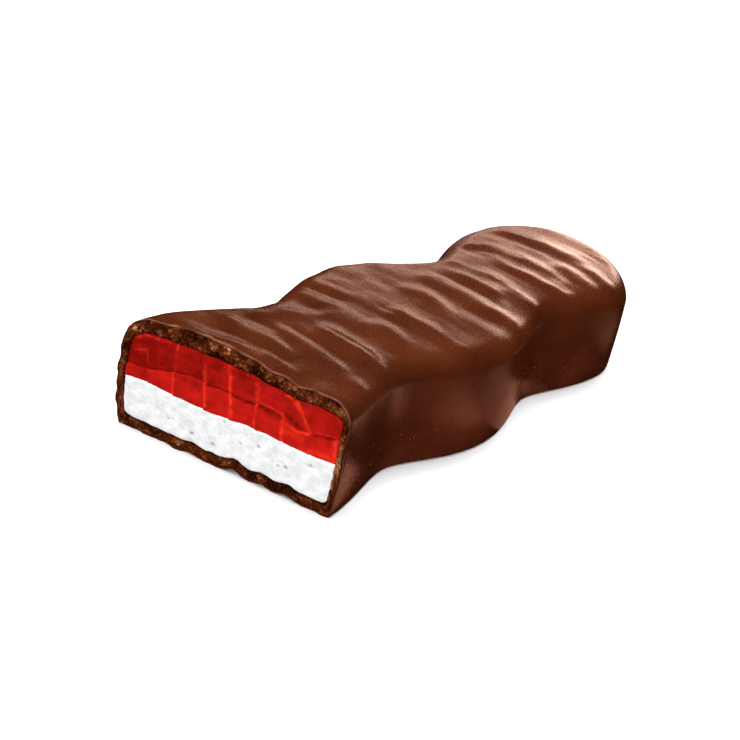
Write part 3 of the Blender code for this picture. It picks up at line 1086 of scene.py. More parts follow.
@dataclass(frozen=True)
class WhippedMarshmallow(Finish):
    """Sugar and egg white whipped to a fine foam and cut.

    Attributes:
        name: the material's name.
        white: its lightest white.
        shade: its darkest.
        border: white painted along the cut face's rounded border, a painted highlight.
        pore: grey of the pores, also painted in a faint line beside the border as painted shade.
        patch: size of the mottling in millimetres.
        patch_range: mottling where it is darkest and where it is lightest.
        foam: size of the foam's grain.
        foam_relief: strength of the grain's relief, and its height.
        roughness: how matt it is.
        inner_share: share of the light that goes in.
        inner_white: how far each colour of that light goes, as shares of the depth.
        inner_depth: that depth in millimetres.
    """

    # Fine foam is a matt white that lets a little light through, mottled with faint cool grey; its rounded
    # border takes a painted highlight and a faint line of painted shade.
    name: str = "marshmallow_whipped"
    white: str = "#f7f7f8"
    shade: str = "#e5e6e8"
    border: str = "#ffffff"
    pore: str = "#80868a"
    patch: float = 1.2
    patch_range: tuple = (0.38, 0.58)
    foam: float = 0.25
    foam_relief: tuple = (0.3, 0.04)
    roughness: float = 0.6
    inner_share: float = 0.3
    inner_white: tuple = (1.0, 0.97, 0.95)
    inner_depth: float = 0.5

    def paint(self, tree: bpy.types.NodeTree, shader: bpy.types.Node) -> None:
        """Add the mottled white, the border's painted highlight, the grey pores with a faint line of painted
        shade, and the foam's grain.

        Args:
            tree: the material's node tree.
            shader: the Principled node in it.
        """
        place = add_node(tree, "ShaderNodeTexCoord").outputs["Object"]
        patches = add_node(tree, "ShaderNodeTexNoise",
                           {"Scale": texture_scale(self.patch), "Detail": 5.0, "Roughness": 0.62},
                           {"Vector": place})
        darkest, lightest = self.patch_range
        share = add_node(tree, "ShaderNodeMapRange", {"From Min": darkest, "From Max": lightest},
                         {"Value": patches.outputs["Fac"]})
        colour = add_node(tree, "ShaderNodeMix",
                          {"data_type": "RGBA", 6: srgb(self.shade), 7: srgb(self.white)},
                          {0: share.outputs[0]})
        # Painted highlight along the border; the pores' grey also paints a faint line of shade beside it.
        for note, code in (("border", self.border), ("pore", self.pore)):
            mark = add_node(tree, "ShaderNodeAttribute", {"attribute_name": note})
            colour = add_node(tree, "ShaderNodeMix", {"data_type": "RGBA", 7: srgb(code)},
                              {0: mark.outputs["Fac"], 6: colour.outputs[2]})
        tree.links.new(colour.outputs[2], shader.inputs["Base Color"])
        foam = add_node(tree, "ShaderNodeTexNoise", {"Scale": texture_scale(self.foam), "Detail": 3.0},
                        {"Vector": place})
        strength, distance = self.foam_relief
        relief = add_node(tree, "ShaderNodeBump", {"Strength": strength, "Distance": distance * MM},
                          {"Height": foam.outputs["Fac"]})
        tree.links.new(relief.outputs[0], shader.inputs["Normal"])
        shader.inputs["Roughness"].default_value = self.roughness
        shader.inputs["Subsurface Weight"].default_value = self.inner_share
        shader.inputs["Subsurface Radius"].default_value = self.inner_white
        shader.inputs["Subsurface Scale"].default_value = self.inner_depth * MM


@dataclass(frozen=True)
class PaleFloor(Finish):
    """Matt white board.

    Attributes:
        name: the material's name.
        white: its white.
        roughness: how matt it is.
    """

    # A plain even white that shows only soft shade.
    name: str = "matt_white_board"
    white: str = "#ededed"
    roughness: float = 0.9

    def paint(self, _tree: bpy.types.NodeTree, shader: bpy.types.Node) -> None:
        """Set the plain white on the Principled node."""
        shader.inputs["Base Color"].default_value = srgb(self.white)
        shader.inputs["Roughness"].default_value = self.roughness


@dataclass
class BarPiece:
    """A part of the bar that is laid over the bar's form.

    Attributes:
        form: the bar.
        shift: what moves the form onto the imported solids, in millimetres.
    """

    form: BarForm
    shift: np.ndarray


@dataclass
class ChocolateShell(BarPiece):
    """The coating: ridged top, lobed walls, flat underside, and a rebate behind the broken rim.

    Attributes:
        spacing: spacing of the grid on the outside, in millimetres.
        wall_stretch: how much wider the spacing is up the walls.
        inner_rows: number of grid lines along the inside.
        lip: share of the coating's thickness that is the lip of its skin at the cut.
        lip_foot: the same share at the lip's foot.
        lip_back: how far the lip's inner edge stands back from the cut.
        rebate: how far the rest stands back.
        chipping: how the skin's edge wanders at the cut.
        chip_reach: share of the way to the far lobe over which that fades out.
        edge_width: how far from the cut the skin's edge takes its painted highlight.
        edge_heights: heights where that painted highlight begins and where it is full.
        highlight_share: how strong the painted highlight is on the whole.
        highlight_change: how that changes from place to place.
        crumb_heights: lowest and highest place of the crumbs on the walls.
        crumb_start: how far from the cut they begin.
        crumb_patches: relief whose high parts hold the crumbs.
        crumb_level: how high those parts are.
    """

    spacing: float = 0.3
    wall_stretch: float = 1.3
    inner_rows: int = 40
    lip: float = 0.10
    lip_foot: float = 0.13
    lip_back: float = 0.02
    rebate: float = 0.5
    chipping: tuple = (SoftNoise(2.6, seed=21, height=0.16), SoftNoise(0.8, seed=22, height=0.06))
    chip_reach: float = 1.0 / 30.0
    edge_width: float = 0.12
    edge_heights: tuple = (9.0, 13.0)
    highlight_share: float = 0.55
    highlight_change: SoftNoise = SoftNoise(2.0, seed=23, height=0.45)
    crumb_heights: tuple = (0.8, 6.5)
    crumb_start: float = 4.0
    crumb_patches: SoftNoise = SoftNoise(9.0, seed=24)
    crumb_level: float = -0.4

    def build(self) -> bpy.types.Object:
        """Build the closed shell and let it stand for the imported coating.

        Returns:
            The finished object.
        """
        form = self.form
        tall = self.wall_stretch * self.spacing
        grid = BlockGrid.spaced(form, form.top_radius, self.spacing, self.spacing, tall)
        inner_grid = BlockGrid(grid.u, np.linspace(0.0, 2.0, self.inner_rows), grid.w)
        outer, outer_faces = self.skin(form.coating(), grid)
        inner, inner_faces = self.skin(form.core(), inner_grid, self.rebate)
        rim, rim_faces = self.rim(grid)
        points = np.concatenate((outer, inner, rim))
        faces = np.concatenate((
            outer_faces, inner_faces[:, ::-1] + len(outer), rim_faces + len(outer) + len(inner)))
        piece = Piece("chocolate_shell", points + self.shift, faces, self.notes(points, len(outer)))
        made = piece.make(EnrobedChocolate().material(), Slot.CHOCOLATE)
        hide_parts("chocolate_coating")
        return made

    def notes(self, points: np.ndarray, outer_count: int) -> dict[str, np.ndarray]:
        """Mark the painted highlight on the skin's edge at the cut, and where crumbs lie low on the walls.

        Args:
            points: all the shell's points, the outside's first.
            outer_count: number of points on the outside.

        Returns:
            How strong the painted highlight is at each point, and whether crumbs lie there, by attribute
            name.
        """
        form = self.form
        x, y, z = points.T
        to_cut = y - form.cut_y - form.cut_turn * x - form.cut_lean * z - self.chips(x, z)
        # Painted highlight: the skin's edge at the cut is painted pale, most near the top.
        highlight_strength = np.clip(self.highlight_share + self.highlight_change.at(x, z), 0.0, 1.0)
        edge = smooth(self.edge_width, 0.0, np.abs(to_cut)) * smooth(*self.edge_heights, z) * highlight_strength
        lowest, highest = self.crumb_heights
        outside = np.arange(len(points)) < outer_count
        dusty = outside & (z > lowest) & (z < highest) & (y > form.cut_y + self.crumb_start)
        dusty &= self.crumb_patches.at(x + y, z) > self.crumb_level
        return {"edge": edge, "dusty": dusty.astype(float)}

    def chips(self, x: np.ndarray, z: np.ndarray) -> np.ndarray:
        """Return how far the skin's edge wanders at the cut."""
        return together(self.chipping, x, z)

    def skin(self, layer: Layer, grid: BlockGrid, back: float = 0.0) -> tuple[np.ndarray, np.ndarray]:
        """Make one side of the coating, open at the cut.

        Args:
            layer: the layer whose surface it is.
            grid: its grid.
            back: how far it stands back from the cut, in millimetres.

        Returns:
            Its points and quads.
        """
        u, v, w, faces = grid.surface(open_front=True)
        points = self.form.lay(layer, u, v, w)
        fade = np.maximum(1.0 - v / self.chip_reach, 0.0)
        points[:, 1] += (back + self.chips(points[:, 0], points[:, 2])) * fade
        return points, faces

    def rim(self, grid: BlockGrid) -> tuple[np.ndarray, np.ndarray]:
        """Make the band from the skin's lip over the rebate to the inside.

        Args:
            grid: the outside's grid, whose border at the cut the band follows.

        Returns:
            Its points and quads.
        """
        u, w = grid.front_loop()
        cut = np.zeros(len(u))
        outer = self.form.lay(self.form.coating(), u, cut, w)
        inner = self.form.lay(self.form.core(), u, cut, w)
        outer_chips = self.chips(outer[:, 0], outer[:, 2])
        inner_chips = self.chips(inner[:, 0], inner[:, 2])
        steps = ((0.0, 0.0), (self.lip, self.lip_back), (self.lip_foot, self.rebate), (1.0, self.rebate))
        rows = []
        for share, back in steps:
            row = outer + (inner - outer) * share
            row[:, 1] += back + outer_chips + (inner_chips - outer_chips) * share
            rows.append(row)
        return np.concatenate(rows), band_faces(len(u), len(rows), closed_rows=False)


@dataclass
class BrokenRim(BarPiece):
    """The broken face of the coating round the cut, a closed ring of crumbly chocolate.

    Attributes:
        spacing: spacing of its grid in millimetres.
        start: share of the coating's thickness where it begins, inside the lip.
        depth: how far it reaches back from the cut.
        overlap: how its inner edge wanders over the filling.
        least_overlap: the least that it reaches over the filling.
        corner: where a larger piece reaches over the filling's corner, and how far.
        undercut: how far it stands back under the lip, and where that is and how wide.
        undercut_shade: how much darker it is painted there, as painted shadow under the lip.
        turned_up: how far its inner edge stands out.
        inner_shade: how much darker that edge is painted, as painted shadow beside the filling.
        inner_band: shares of the thickness where that begins and where it is full.
        held: share of the relief that is left at its two edges, and the share of the
            thickness over which it grows to the whole.
        crumb_band: shares of the thickness between which loose crumbs lie.
        chunk: size of the chunks that it broke into.
        chunk_change: how much neighbouring chunks differ in height and tone.
        torn: size of the larger unevenness.
        torn_offset: how far its pattern lies from the grit's.
        grit: size of the grit.
        seam: widest seam between chunks, as a share of their size.
        relief_mix: what a chunk's own height, the tear, the seams and the grit add to the relief.
        relief_range: its furthest places before and behind the cut.
        relief_middle: its middle.
        tone_and_shade_mix: what the same four add to the tone; the chunk's height, the tear and the seams
            paint deeper places darker, as painted shade.
        tone_middle: the tone's middle.
        patches: lighter and darker patches of it.
    """

    spacing: float = 0.09
    start: float = 0.09
    depth: float = 0.6
    overlap: tuple = (SoftNoise(2.2, seed=31, height=0.12), SoftNoise(0.7, seed=32, height=0.05))
    least_overlap: float = -0.03
    corner: Patch = Patch(-14.2, 12.8, 1.2, 1.2, 0.5)
    undercut: tuple = (0.14, 0.16, 0.09)
    undercut_shade: float = 0.30
    turned_up: float = 0.12
    inner_shade: float = 0.35
    inner_band: tuple = (0.86, 1.0)
    held: tuple = (0.35, 0.10)
    crumb_band: tuple = (0.15, 0.9)
    chunk: float = 0.55
    chunk_change: float = 3.7
    torn: float = 1.6
    torn_offset: tuple = (0.0, 0.0, 9.0)
    grit: float = 0.22
    seam: float = 0.5
    relief_mix: tuple = (0.30, 0.16, -0.24, 0.06)
    relief_range: tuple = (-0.22, 0.38)
    relief_middle: float = 0.05
    tone_and_shade_mix: tuple = (-0.45, -0.45, 0.5, 0.24)
    tone_middle: float = 0.32
    patches: tuple = (
        Patch(-14.5, 13.8, 1.4, 1.4, 0.12), Patch(-10.0, 15.0, 1.1, 1.5, 0.14),
        Patch(-6.5, 15.0, 1.6, 1.5, -0.10), Patch(-1.0, 14.8, 3.0, 1.5, -0.04),
        Patch(8.6, 13.8, 3.0, 1.8, -0.04), Patch(13.2, 13.4, 0.8, 0.9, 0.12),
        Patch(-16.0, 2.0, 1.5, 3.0, 0.24), Patch(-12.0, 0.8, 3.0, 1.5, 0.10),
        Patch(5.0, 1.2, 2.0, 1.6, -0.08), Patch(9.5, 1.2, 3.0, 1.6, -0.14), Patch(14.0, 6.0, 1.0, 5.0, 0.34))

    def build(self) -> bpy.types.Object:
        """Build the ring.

        Returns:
            The finished object.
        """
        form = self.form
        grid = BlockGrid(
            np.linspace(-1.0, 1.0, int(2.0 * form.typical_half / self.spacing)), np.zeros(1),
            np.linspace(0.0, 1.0, int(form.edge_height / self.spacing)))
        u, w = grid.front_loop()
        cut = np.zeros(len(u))
        outer = form.lay(form.coating(), u, cut, w)
        inner = form.lay(form.core(), u, cut, w)
        across = inner - outer
        thick = np.linalg.norm(across, axis=1)
        x, z = inner[:, 0], inner[:, 2]
        overlap = np.maximum(together(self.overlap, x, z), self.least_overlap) + self.corner.over(x, z)
        inwards = across / thick[:, None] * overlap[:, None]
        ring = self.ring(inner)
        rows, broken, tones = [], [], []
        for share in np.linspace(self.start, 1.0, int(form.coat_top / self.spacing)):
            row = outer + across * share + inwards * share ** 3
            back, tone = self.face(share, share * thick, ring)
            row[:, 1] += back
            tones.append(tone + sum(patch.over(row[:, 0], row[:, 2]) for patch in self.patches))
            rows.append(row)
            broken.append(np.full(len(u), float(self.crumb_band[0] < share < self.crumb_band[1])))
        for share in (1.0, self.start):
            row = outer + across * share + inwards * share ** 3
            row[:, 1] += self.depth
            rows.append(row)
            broken.append(np.zeros(len(u)))
            tones.append(np.zeros(len(u)))
        faces = band_faces(len(u), len(rows), closed_rows=True)
        notes = {"broken": np.concatenate(broken), "tone": np.concatenate(tones)}
        piece = Piece("broken_rim", np.concatenate(rows) + self.shift, faces, notes)
        return piece.make(BrokenChocolate().material(), Slot.CHOCOLATE)

    @staticmethod
    def ring(loop: np.ndarray) -> np.ndarray:
        """Lay the points of a loop round a circle, so that a pattern closes where they meet.

        Args:
            loop: the loop's points, one row each.

        Returns:
            Two rows: the points' places on a circle as long as the loop, in millimetres.
        """
        steps = np.linalg.norm(np.roll(loop, -1, axis=0) - loop, axis=1)
        turn = math.tau * (np.cumsum(steps) - steps) / steps.sum()
        return np.stack((np.cos(turn), np.sin(turn))) * steps.sum() / math.tau

    def face(self, share: float, depth: np.ndarray, ring: np.ndarray) -> tuple[np.ndarray, np.ndarray]:
        """Work out one row of the broken face.

        Args:
            share: the row's place through the coating, from 0 outside to 1 inside.
            depth: the same in millimetres, at each point.
            ring: the points' places round the ring.

        Returns:
            How far each point stands back from the cut, and its tone with painted shadow under the lip and
            at the inner edge.
        """
        relief, tone = self.crumble(np.stack((*ring, depth), axis=-1))
        most, middle, width = self.undercut
        under_lip = hump(depth, middle, width)
        least, growth = self.held
        held = min(min(share - self.start, 1.0 - share) / growth + least, 1.0)
        back = relief * held + most * under_lip - self.turned_up * share ** 3
        # Painted shadow: darker under the lip and along the inner edge.
        inner_edge = float(smooth(*self.inner_band, share))
        return back, tone - self.undercut_shade * under_lip - self.inner_shade * inner_edge

    def crumble(self, spots: np.ndarray) -> tuple[np.ndarray, np.ndarray]:
        """Break the chocolate into chunks and crumbs.

        Args:
            spots: places round the ring and across it, in millimetres, one row each.

        Returns:
            The relief, behind the cut where positive, and the tone of each spot, partly random and partly
            painted shade that darkens deeper spots.
        """
        marks, apart = [], Vector(self.torn_offset)
        for spot in map(Vector, spots.tolist()):
            distances, centres = noise.voronoi(spot / self.chunk)
            marks.append((
                noise.noise(centres[0] * self.chunk_change), noise.noise(spot / self.torn + apart),
                min(distances[1] - distances[0], self.seam), noise.noise(spot / self.grit)))
        relief = self.relief_middle + np.array(marks) @ self.relief_mix
        # Painted shade: spots that lie deeper take a darker tone.
        return np.clip(relief, *self.relief_range), self.tone_middle + np.array(marks) @ self.tone_and_shade_mix


@dataclass
class Filling(BarPiece):
    """A layer inside the coating, with a fine grid on its cut face.

    Attributes:
        spacing: spacing of the grid on the cut face, in millimetres.
        length: spacing of the grid along the bar.
        spread: how far the layer is spread towards the coating.
    """

    spacing: float = 0.10
    length: float = 2.5
    spread: float = 0.03

    def block(self, high: float) -> tuple[np.ndarray, np.ndarray, np.ndarray, np.ndarray]:
        """Make the grid's surface.

        Args:
            high: height of the layer in millimetres.

        Returns:
            u, v and w of its points, and its quads.
        """
        plan = BlockGrid.spaced(self.form, (0.0, 0.0, 0.0), self.spacing, self.length, self.spacing)
        up = np.linspace(0.0, 1.0, int(high / self.spacing))
        return BlockGrid(plan.u, plan.v, up).surface(open_front=False)


@dataclass
class JellyFilling(Filling):
    """The jelly, cut in two tiers of blocks that part along joints.

    Attributes:
        joints: x of the joints between the blocks, at the lean's middle.
        joint_grain: how the joints wander.
        lean: how far the joints lean across for each millimetre up.
        lean_middle: height of the lean's middle above the marshmallow.
        tier: the crack between the tiers, as points of x and z.
        tier_grain: how it wanders.
        tier_softness: half the height over which one tier turns into the other.
        grooves: depth and width of the grooves along the joints, and of the one along the crack.
        block_change: the most that a block's tilt, its step and its tint differ.
        draw_seed: seed of those differences.
        half_block: half the width of a block.
        lower_step: how far the lower tier stands out before the upper one.
        grain: fine unevenness of the face.
        top_back: how far the face draws back just under the coating.
        top_bands: shares of the height from which it draws back, is speckled with painted light and is
            painted dark as painted shadow under the coating.
        clearness: how clear the upper tier is and how that changes across, and how much clearer the
            lower tier is.
        clear_middle: x from which the upper tier's change counts.
        clear_reach: how far it counts to either side.
        wander: how veins and cracks wander.
        vein_share: how bright the veins are on the whole.
        vein_change: how that changes from place to place.
        specks: relief whose peaks are bright specks.
        speck_range: its heights between which a speck grows bright.
        speck_glow: how bright the specks' painted light is.
        speckled_corner: where most of them are, beside the top.
        crack_share: how dark the cracks' painted shade is on the whole.
        crack_change: how that changes from place to place.
        top_shadow_line: how dark the painted shadow line just under the coating is.
        veins: joints and veins painted bright, as painted light.
        cracks: cracks painted dark, as painted shade.
        patches: clearer and deeper patches.
    """

    joints: tuple = (-12.5, -8.6, -4.3, -0.8, 2.75, 6.45, 10.2)
    joint_grain: SoftNoise = SoftNoise(1.2, seed=42, height=0.06)
    lean: float = 0.16
    lean_middle: float = 1.5
    tier: tuple = ((-15.5, 8.4), (-12.4, 8.8), (-8.8, 9.8), (-6.0, 10.3), (-3.4, 10.1), (-0.8, 10.2),
                   (1.0, 9.9), (2.8, 10.2), (4.5, 10.1), (6.3, 9.9), (8.4, 9.2), (10.0, 9.4), (13.4, 10.0))
    tier_grain: SoftNoise = SoftNoise(1.5, seed=41, height=0.05)
    tier_softness: float = 0.06
    grooves: tuple = ((0.07, 0.15), (0.10, 0.12))
    block_change: tuple = (0.08, 0.05, 0.08)
    draw_seed: int = 7
    half_block: float = 1.8
    lower_step: float = 0.07
    grain: SoftNoise = SoftNoise(1.2, seed=43, height=0.04)
    top_back: float = 0.10
    top_bands: tuple = (0.93, 0.80, 0.95)
    clearness: tuple = ((0.30, 0.02), (0.34, -0.01))
    clear_middle: float = -4.0
    clear_reach: tuple = (-8.0, 10.0)
    wander: SoftNoise = SoftNoise(0.9, seed=44, height=0.07)
    vein_share: float = 0.75
    vein_change: SoftNoise = SoftNoise(1.1, seed=45, height=0.35)
    specks: SoftNoise = SoftNoise(0.55, seed=46)
    speck_range: tuple = (1.0, 1.5)
    speck_glow: float = 0.8
    speckled_corner: Patch = Patch(-13.4, 11.0, 1.6, 2.0, 1.0)
    crack_share: float = 0.8
    crack_change: SoftNoise = SoftNoise(0.8, seed=47, height=0.35)
    top_shadow_line: float = 0.35
    veins: tuple = (
        Trace(((-8.8, 13.6), (-8.7, 12.8)), 0.18, 0.9), Trace(((-8.7, 12.8), (-8.6, 9.8)), 0.15, 0.18),
        Trace(((-8.8, 9.6), (-8.4, 7.0)), 0.20, 0.75), Trace(((-4.7, 12.6), (-4.5, 11.5)), 0.2, 0.2),
        Trace(((-4.5, 11.5), (-4.3, 9.8)), 0.25, 0.55), Trace(((-4.3, 9.8), (-3.9, 7.4)), 0.26, 0.8),
        Trace(((-1.7, 13.4), (-1.2, 12.3)), 0.28, 0.6),
        Trace(((-1.2, 12.3), (-0.9, 10.4), (-0.3, 7.4)), 0.26, 1.0),
        Trace(((2.3, 12.6), (2.5, 12.0), (2.7, 10.3)), 0.35, 0.4),
        Trace(((2.7, 10.3), (2.8, 7.6)), 0.17, 0.75), Trace(((6.2, 10.4), (6.6, 7.0)), 0.19, 0.85),
        Trace(((3.0, 10.5), (4.6, 10.6), (6.3, 10.4)), 0.12, 0.6),
        Trace(((6.4, 13.0), (7.3, 12.7), (8.5, 11.6)), 0.26, 0.8),
        Trace(((8.5, 11.6), (9.9, 9.4)), 0.18, 0.8),
        Trace(((6.9, 9.3), (8.4, 8.9), (9.9, 9.4)), 0.24, 0.65),
        Trace(((7.2, 8.5), (9.2, 8.5)), 0.28, 0.45),
        Trace(((9.9, 9.4), (11.0, 9.9), (13.2, 10.2)), 0.11, 0.5),
        Trace(((13.1, 9.8), (13.45, 7.1)), 0.26, 0.7),
        Trace(((9.4, 6.9), (11.2, 7.4), (13.3, 7.3)), 0.34, 0.5),
        Trace(((-14.6, 10.6), (-12.7, 11.3)), 0.10, 0.5), Trace(((-12.7, 11.3), (-12.6, 9.9)), 0.10, 0.35),
        Trace(((-14.6, 12.2), (-13.2, 13.0), (-11.4, 13.1)), 0.18, 0.5))
    cracks: tuple = (
        Trace(((-12.4, 8.8), (-10.5, 9.4), (-8.9, 9.8)), 0.13, 0.5),
        Trace(((-8.4, 9.9), (-6.0, 10.3), (-4.6, 10.1)), 0.13, 0.5),
        Trace(((-4.0, 10.1), (-0.9, 10.2)), 0.17, 0.7),
        Trace(((-0.4, 10.2), (1.0, 9.9), (2.4, 10.1)), 0.24, 0.85),
        Trace(((3.1, 10.2), (4.5, 10.0), (6.0, 9.8)), 0.36, 0.75),
        Trace(((6.9, 10.4), (8.2, 9.9), (8.9, 9.6)), 0.30, 0.65),
        Trace(((10.2, 9.3), (13.0, 9.85)), 0.15, 0.75))
    patches: tuple = (
        Patch(-13.7, 10.0, 1.0, 0.9, -0.5), Patch(-13.6, 12.2, 1.1, 0.7, -0.4),
        Patch(-6.4, 9.4, 1.6, 0.5, -0.35), Patch(-12.6, 7.6, 1.6, 0.9, -0.25),
        Patch(-10.2, 8.7, 1.2, 0.8, 0.25), Patch(-5.6, 8.0, 1.4, 0.7, 0.25),
        Patch(4.2, 11.8, 2.2, 1.0, 0.25), Patch(-2.6, 8.6, 1.4, 1.2, 0.15), Patch(11.6, 7.4, 1.6, 0.5, 0.3),
        Patch(1.0, 13.0, 2.5, 0.5, -0.3), Patch(-2.5, 12.9, 1.6, 0.4, -0.2))

    def build(self) -> bpy.types.Object:
        """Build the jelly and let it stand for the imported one.

        Returns:
            The finished object.
        """
        form = self.form
        u, v, w, faces = self.block(form.edge_height - form.layer_level)
        points = form.lay(form.jelly(self.spread), u, v, w)
        relief, notes = self.face(points[:, 0], points[:, 2], w)
        front = (v < TINY).astype(float)
        points[:, 1] += relief * front
        notes = {note: np.clip(values, 0.0, 1.0) * front for note, values in notes.items()}
        piece = Piece("jelly_filling", points + self.shift, faces, notes)
        made = piece.make(SetJelly().material(), Slot.JELLY)
        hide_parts("jelly_layer")
        return made

    def face(self, x: np.ndarray, z: np.ndarray, w: np.ndarray) -> tuple[np.ndarray, dict[str, np.ndarray]]:
        """Work out the cut face.

        Args:
            x: the points' places across, in millimetres.
            z: their heights.
            w: the same as shares of the layer.

        Returns:
            Its relief, how clear each point is, and how much painted glow and painted shade it takes, by
            attribute name.
        """
        level = np.interp(x, *zip(*self.tier)) + self.tier_grain.at(x, 0.0 * x)
        lower = smooth(self.tier_softness, -self.tier_softness, z - level)
        relief, tint = self.blocks(x, z, level)
        back, speckled, dark = (smooth(start, 1.0, w) for start in self.top_bands)
        relief = relief - self.lower_step * lower + self.grain.at(x, z) + self.top_back * back
        (upper, upper_change), (more, more_change) = self.clearness
        clear = upper + upper_change * np.clip(x - self.clear_middle, *self.clear_reach)
        clear = clear + (more + more_change * x) * lower + tint
        clear = clear + sum(patch.over(x, z) for patch in self.patches)
        wander = self.wander.at(x, z)
        # Painted light along the veins and on the specks; painted shade along the cracks and under the
        # coating.
        painted_glow, crack = (np.max([line.over(x + wander, z + wander) for line in lines], axis=0)
                       for lines in (self.veins, self.cracks))
        painted_glow = painted_glow * (self.vein_share + self.vein_change.at(x, z))
        speckled = speckled + self.speckled_corner.over(x, z)
        painted_glow = painted_glow + self.speck_glow * speckled * smooth(*self.speck_range, self.specks.at(x, z))
        # Painted shade along the cracks, and a painted shadow line just under the coating.
        crack = crack * (self.crack_share + self.crack_change.at(x, z))
        crack = crack + self.top_shadow_line * dark
        return relief, {"clear": clear, "painted_glow": painted_glow, "crack": crack}

    def blocks(self, x: np.ndarray, z: np.ndarray, level: np.ndarray) -> tuple[np.ndarray, np.ndarray]:
        """Part the face into blocks.

        Args:
            x: the points' places across, in millimetres.
            z: their heights.
            level: height of the crack between the tiers at each point.

        Returns:
            The relief of the grooves and of the blocks' tilts, and each block's own tint.
        """
        middle = self.form.layer_level + self.lean_middle
        place = x + self.lean * (z - middle) + self.joint_grain.at(x, z)
        joints = np.asarray(self.joints)
        column = np.searchsorted(joints, place)
        to_joint = np.min(np.abs(place[:, None] - joints), axis=1)
        draws = np.random.RandomState(self.draw_seed).uniform(-1.0, 1.0, (2 * len(joints) + 2, 3))
        (joint_depth, joint_width), (tier_depth, tier_width) = self.grooves
        relief = joint_depth * hump(to_joint, 0.0, joint_width) + tier_depth * hump(z, level, tier_width)
        own = draws[2 * column + (z < level)]
        tilt, step, tint = (most * draw for most, draw in zip(self.block_change, own.T))
        from_middle = place - joints[np.minimum(column, len(joints) - 1)] + self.half_block
        return relief + tilt * from_middle + step, tint


@dataclass
class MarshmallowFilling(Filling):
    """The marshmallow, whose cut face is soft, rounded at its border and pitted with pores.

    Attributes:
        border: radius of the cut face's rounded border.
        border_share: how much of that rounding shows.
        border_grain: how the border wanders.
        border_highlight: distances from the border where its painted highlight begins and where it is full.
        seam: a faint grey line painted beside the border as painted shade: its strength, its place and its
            width.
        seam_change: relief whose high parts hold the line.
        seam_range: its heights where the line begins and where it is full.
        bulge: how far the face stands out before the cut.
        grain: soft unevenness of the face.
        pores: x, z and radius of the pores that show.
        pore_strength: how strong they are.
        faint_pores: number of fainter pores.
        faint_seed: seed of their places and sizes.
        faint_strength: how strong those are.
        faint_place: x and z between which they lie.
        faint_radius: their smallest and largest radius.
        pore_stretch: how much narrower a pore's pattern is than it is high.
        pore_depth: depth of a pore as a share of its radius.
    """

    border: float = 0.40
    border_share: float = 0.5
    border_grain: SoftNoise = SoftNoise(1.6, seed=50, height=0.05)
    border_highlight: tuple = (0.45, 0.15)
    seam: tuple = (0.16, 0.42, 0.08)
    seam_change: SoftNoise = SoftNoise(6.0, seed=54)
    seam_range: tuple = (-0.4, 0.8)
    bulge: float = 0.12
    grain: tuple = (SoftNoise(2.2, seed=51, height=0.05), SoftNoise(0.8, seed=52, height=0.02))
    pores: tuple = (
        (-5.1, 6.95, 0.16), (-0.9, 6.4, 0.17), (-5.0, 3.0, 0.20), (-2.0, 2.8, 0.20), (4.0, 5.1, 0.17),
        (7.9, 4.0, 0.20), (10.9, 5.6, 0.17), (1.7, 4.5, 0.11), (-8.5, 3.6, 0.12), (6.9, 3.8, 0.12))
    pore_strength: float = 0.85
    faint_pores: int = 16
    faint_seed: int = 53
    faint_strength: float = 0.4
    faint_place: tuple = ((-14.0, 12.5), (2.4, 6.4))
    faint_radius: tuple = (0.06, 0.11)
    pore_stretch: float = 0.8
    pore_depth: float = 0.7

    def build(self) -> bpy.types.Object:
        """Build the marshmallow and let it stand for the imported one.

        Returns:
            The finished object.
        """
        form = self.form
        u, v, w, faces = self.block(form.layer_level - form.coat_base)
        points = form.lay(form.marshmallow(self.spread), u, v, w)
        relief, pore, border = self.face(points[:, 0], points[:, 2], u, w)
        front = (v < TINY).astype(float)
        points[:, 1] += relief * front
        # The border note is a painted highlight; the pore note also holds a faint line of painted shade.
        notes = {"pore": pore * front, "border": border * front}
        piece = Piece("marshmallow_filling", points + self.shift, faces, notes)
        made = piece.make(WhippedMarshmallow().material(), Slot.MARSHMALLOW)
        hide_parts("marshmallow_layer")
        return made

    def face(self, x: np.ndarray, z: np.ndarray, u: np.ndarray, w: np.ndarray) -> tuple[np.ndarray, ...]:
        """Work out the cut face.

        Args:
            x: the points' places across, in millimetres.
            z: their heights.
            u: their places across as shares of the block.
            w: their heights as shares of the layer.

        Returns:
            Its relief, how deep in a pore or in the painted shade line each point is, and how strong the
            border's painted highlight is.
        """
        form = self.form
        high = form.layer_level - form.coat_base
        inward = np.minimum(np.minimum(w, 1.0 - w) * high, (1.0 - np.abs(u)) * form.typical_half)
        inward = inward + self.border_grain.at(x, z)
        relief = self.border_share * rounded(self.border, np.maximum(inward, 0.0)) - self.bulge
        relief = relief + together(self.grain, x, z)
        depth = np.zeros(len(x))
        for px, pz, radius, strength in self.all_pores():
            pore = strength * hump(np.hypot((x - px) * self.pore_stretch, z - pz), 0.0, radius)
            depth = np.maximum(depth, pore)
            relief += self.pore_depth * radius * pore
        # Painted shade: a faint grey line beside the border.
        strength, middle, width = self.seam
        held = smooth(*self.seam_range, self.seam_change.at(x, z))
        line = strength * hump(inward, middle, width) * held
        return relief, np.maximum(depth, line), smooth(*self.border_highlight, inward)

    def all_pores(self) -> list[tuple[float, float, float, float]]:
        """Return the x, z, radius and strength of every pore, the faint ones drawn at random.

        Returns:
            One row for each pore.
        """
        draw = random.Random(self.faint_seed)
        drawn_from = (*self.faint_place, self.faint_radius)
        faint = [(*(draw.uniform(*ends) for ends in drawn_from), self.faint_strength)
                 for _pore in range(self.faint_pores)]
        return [(*pore, self.pore_strength) for pore in self.pores] + faint


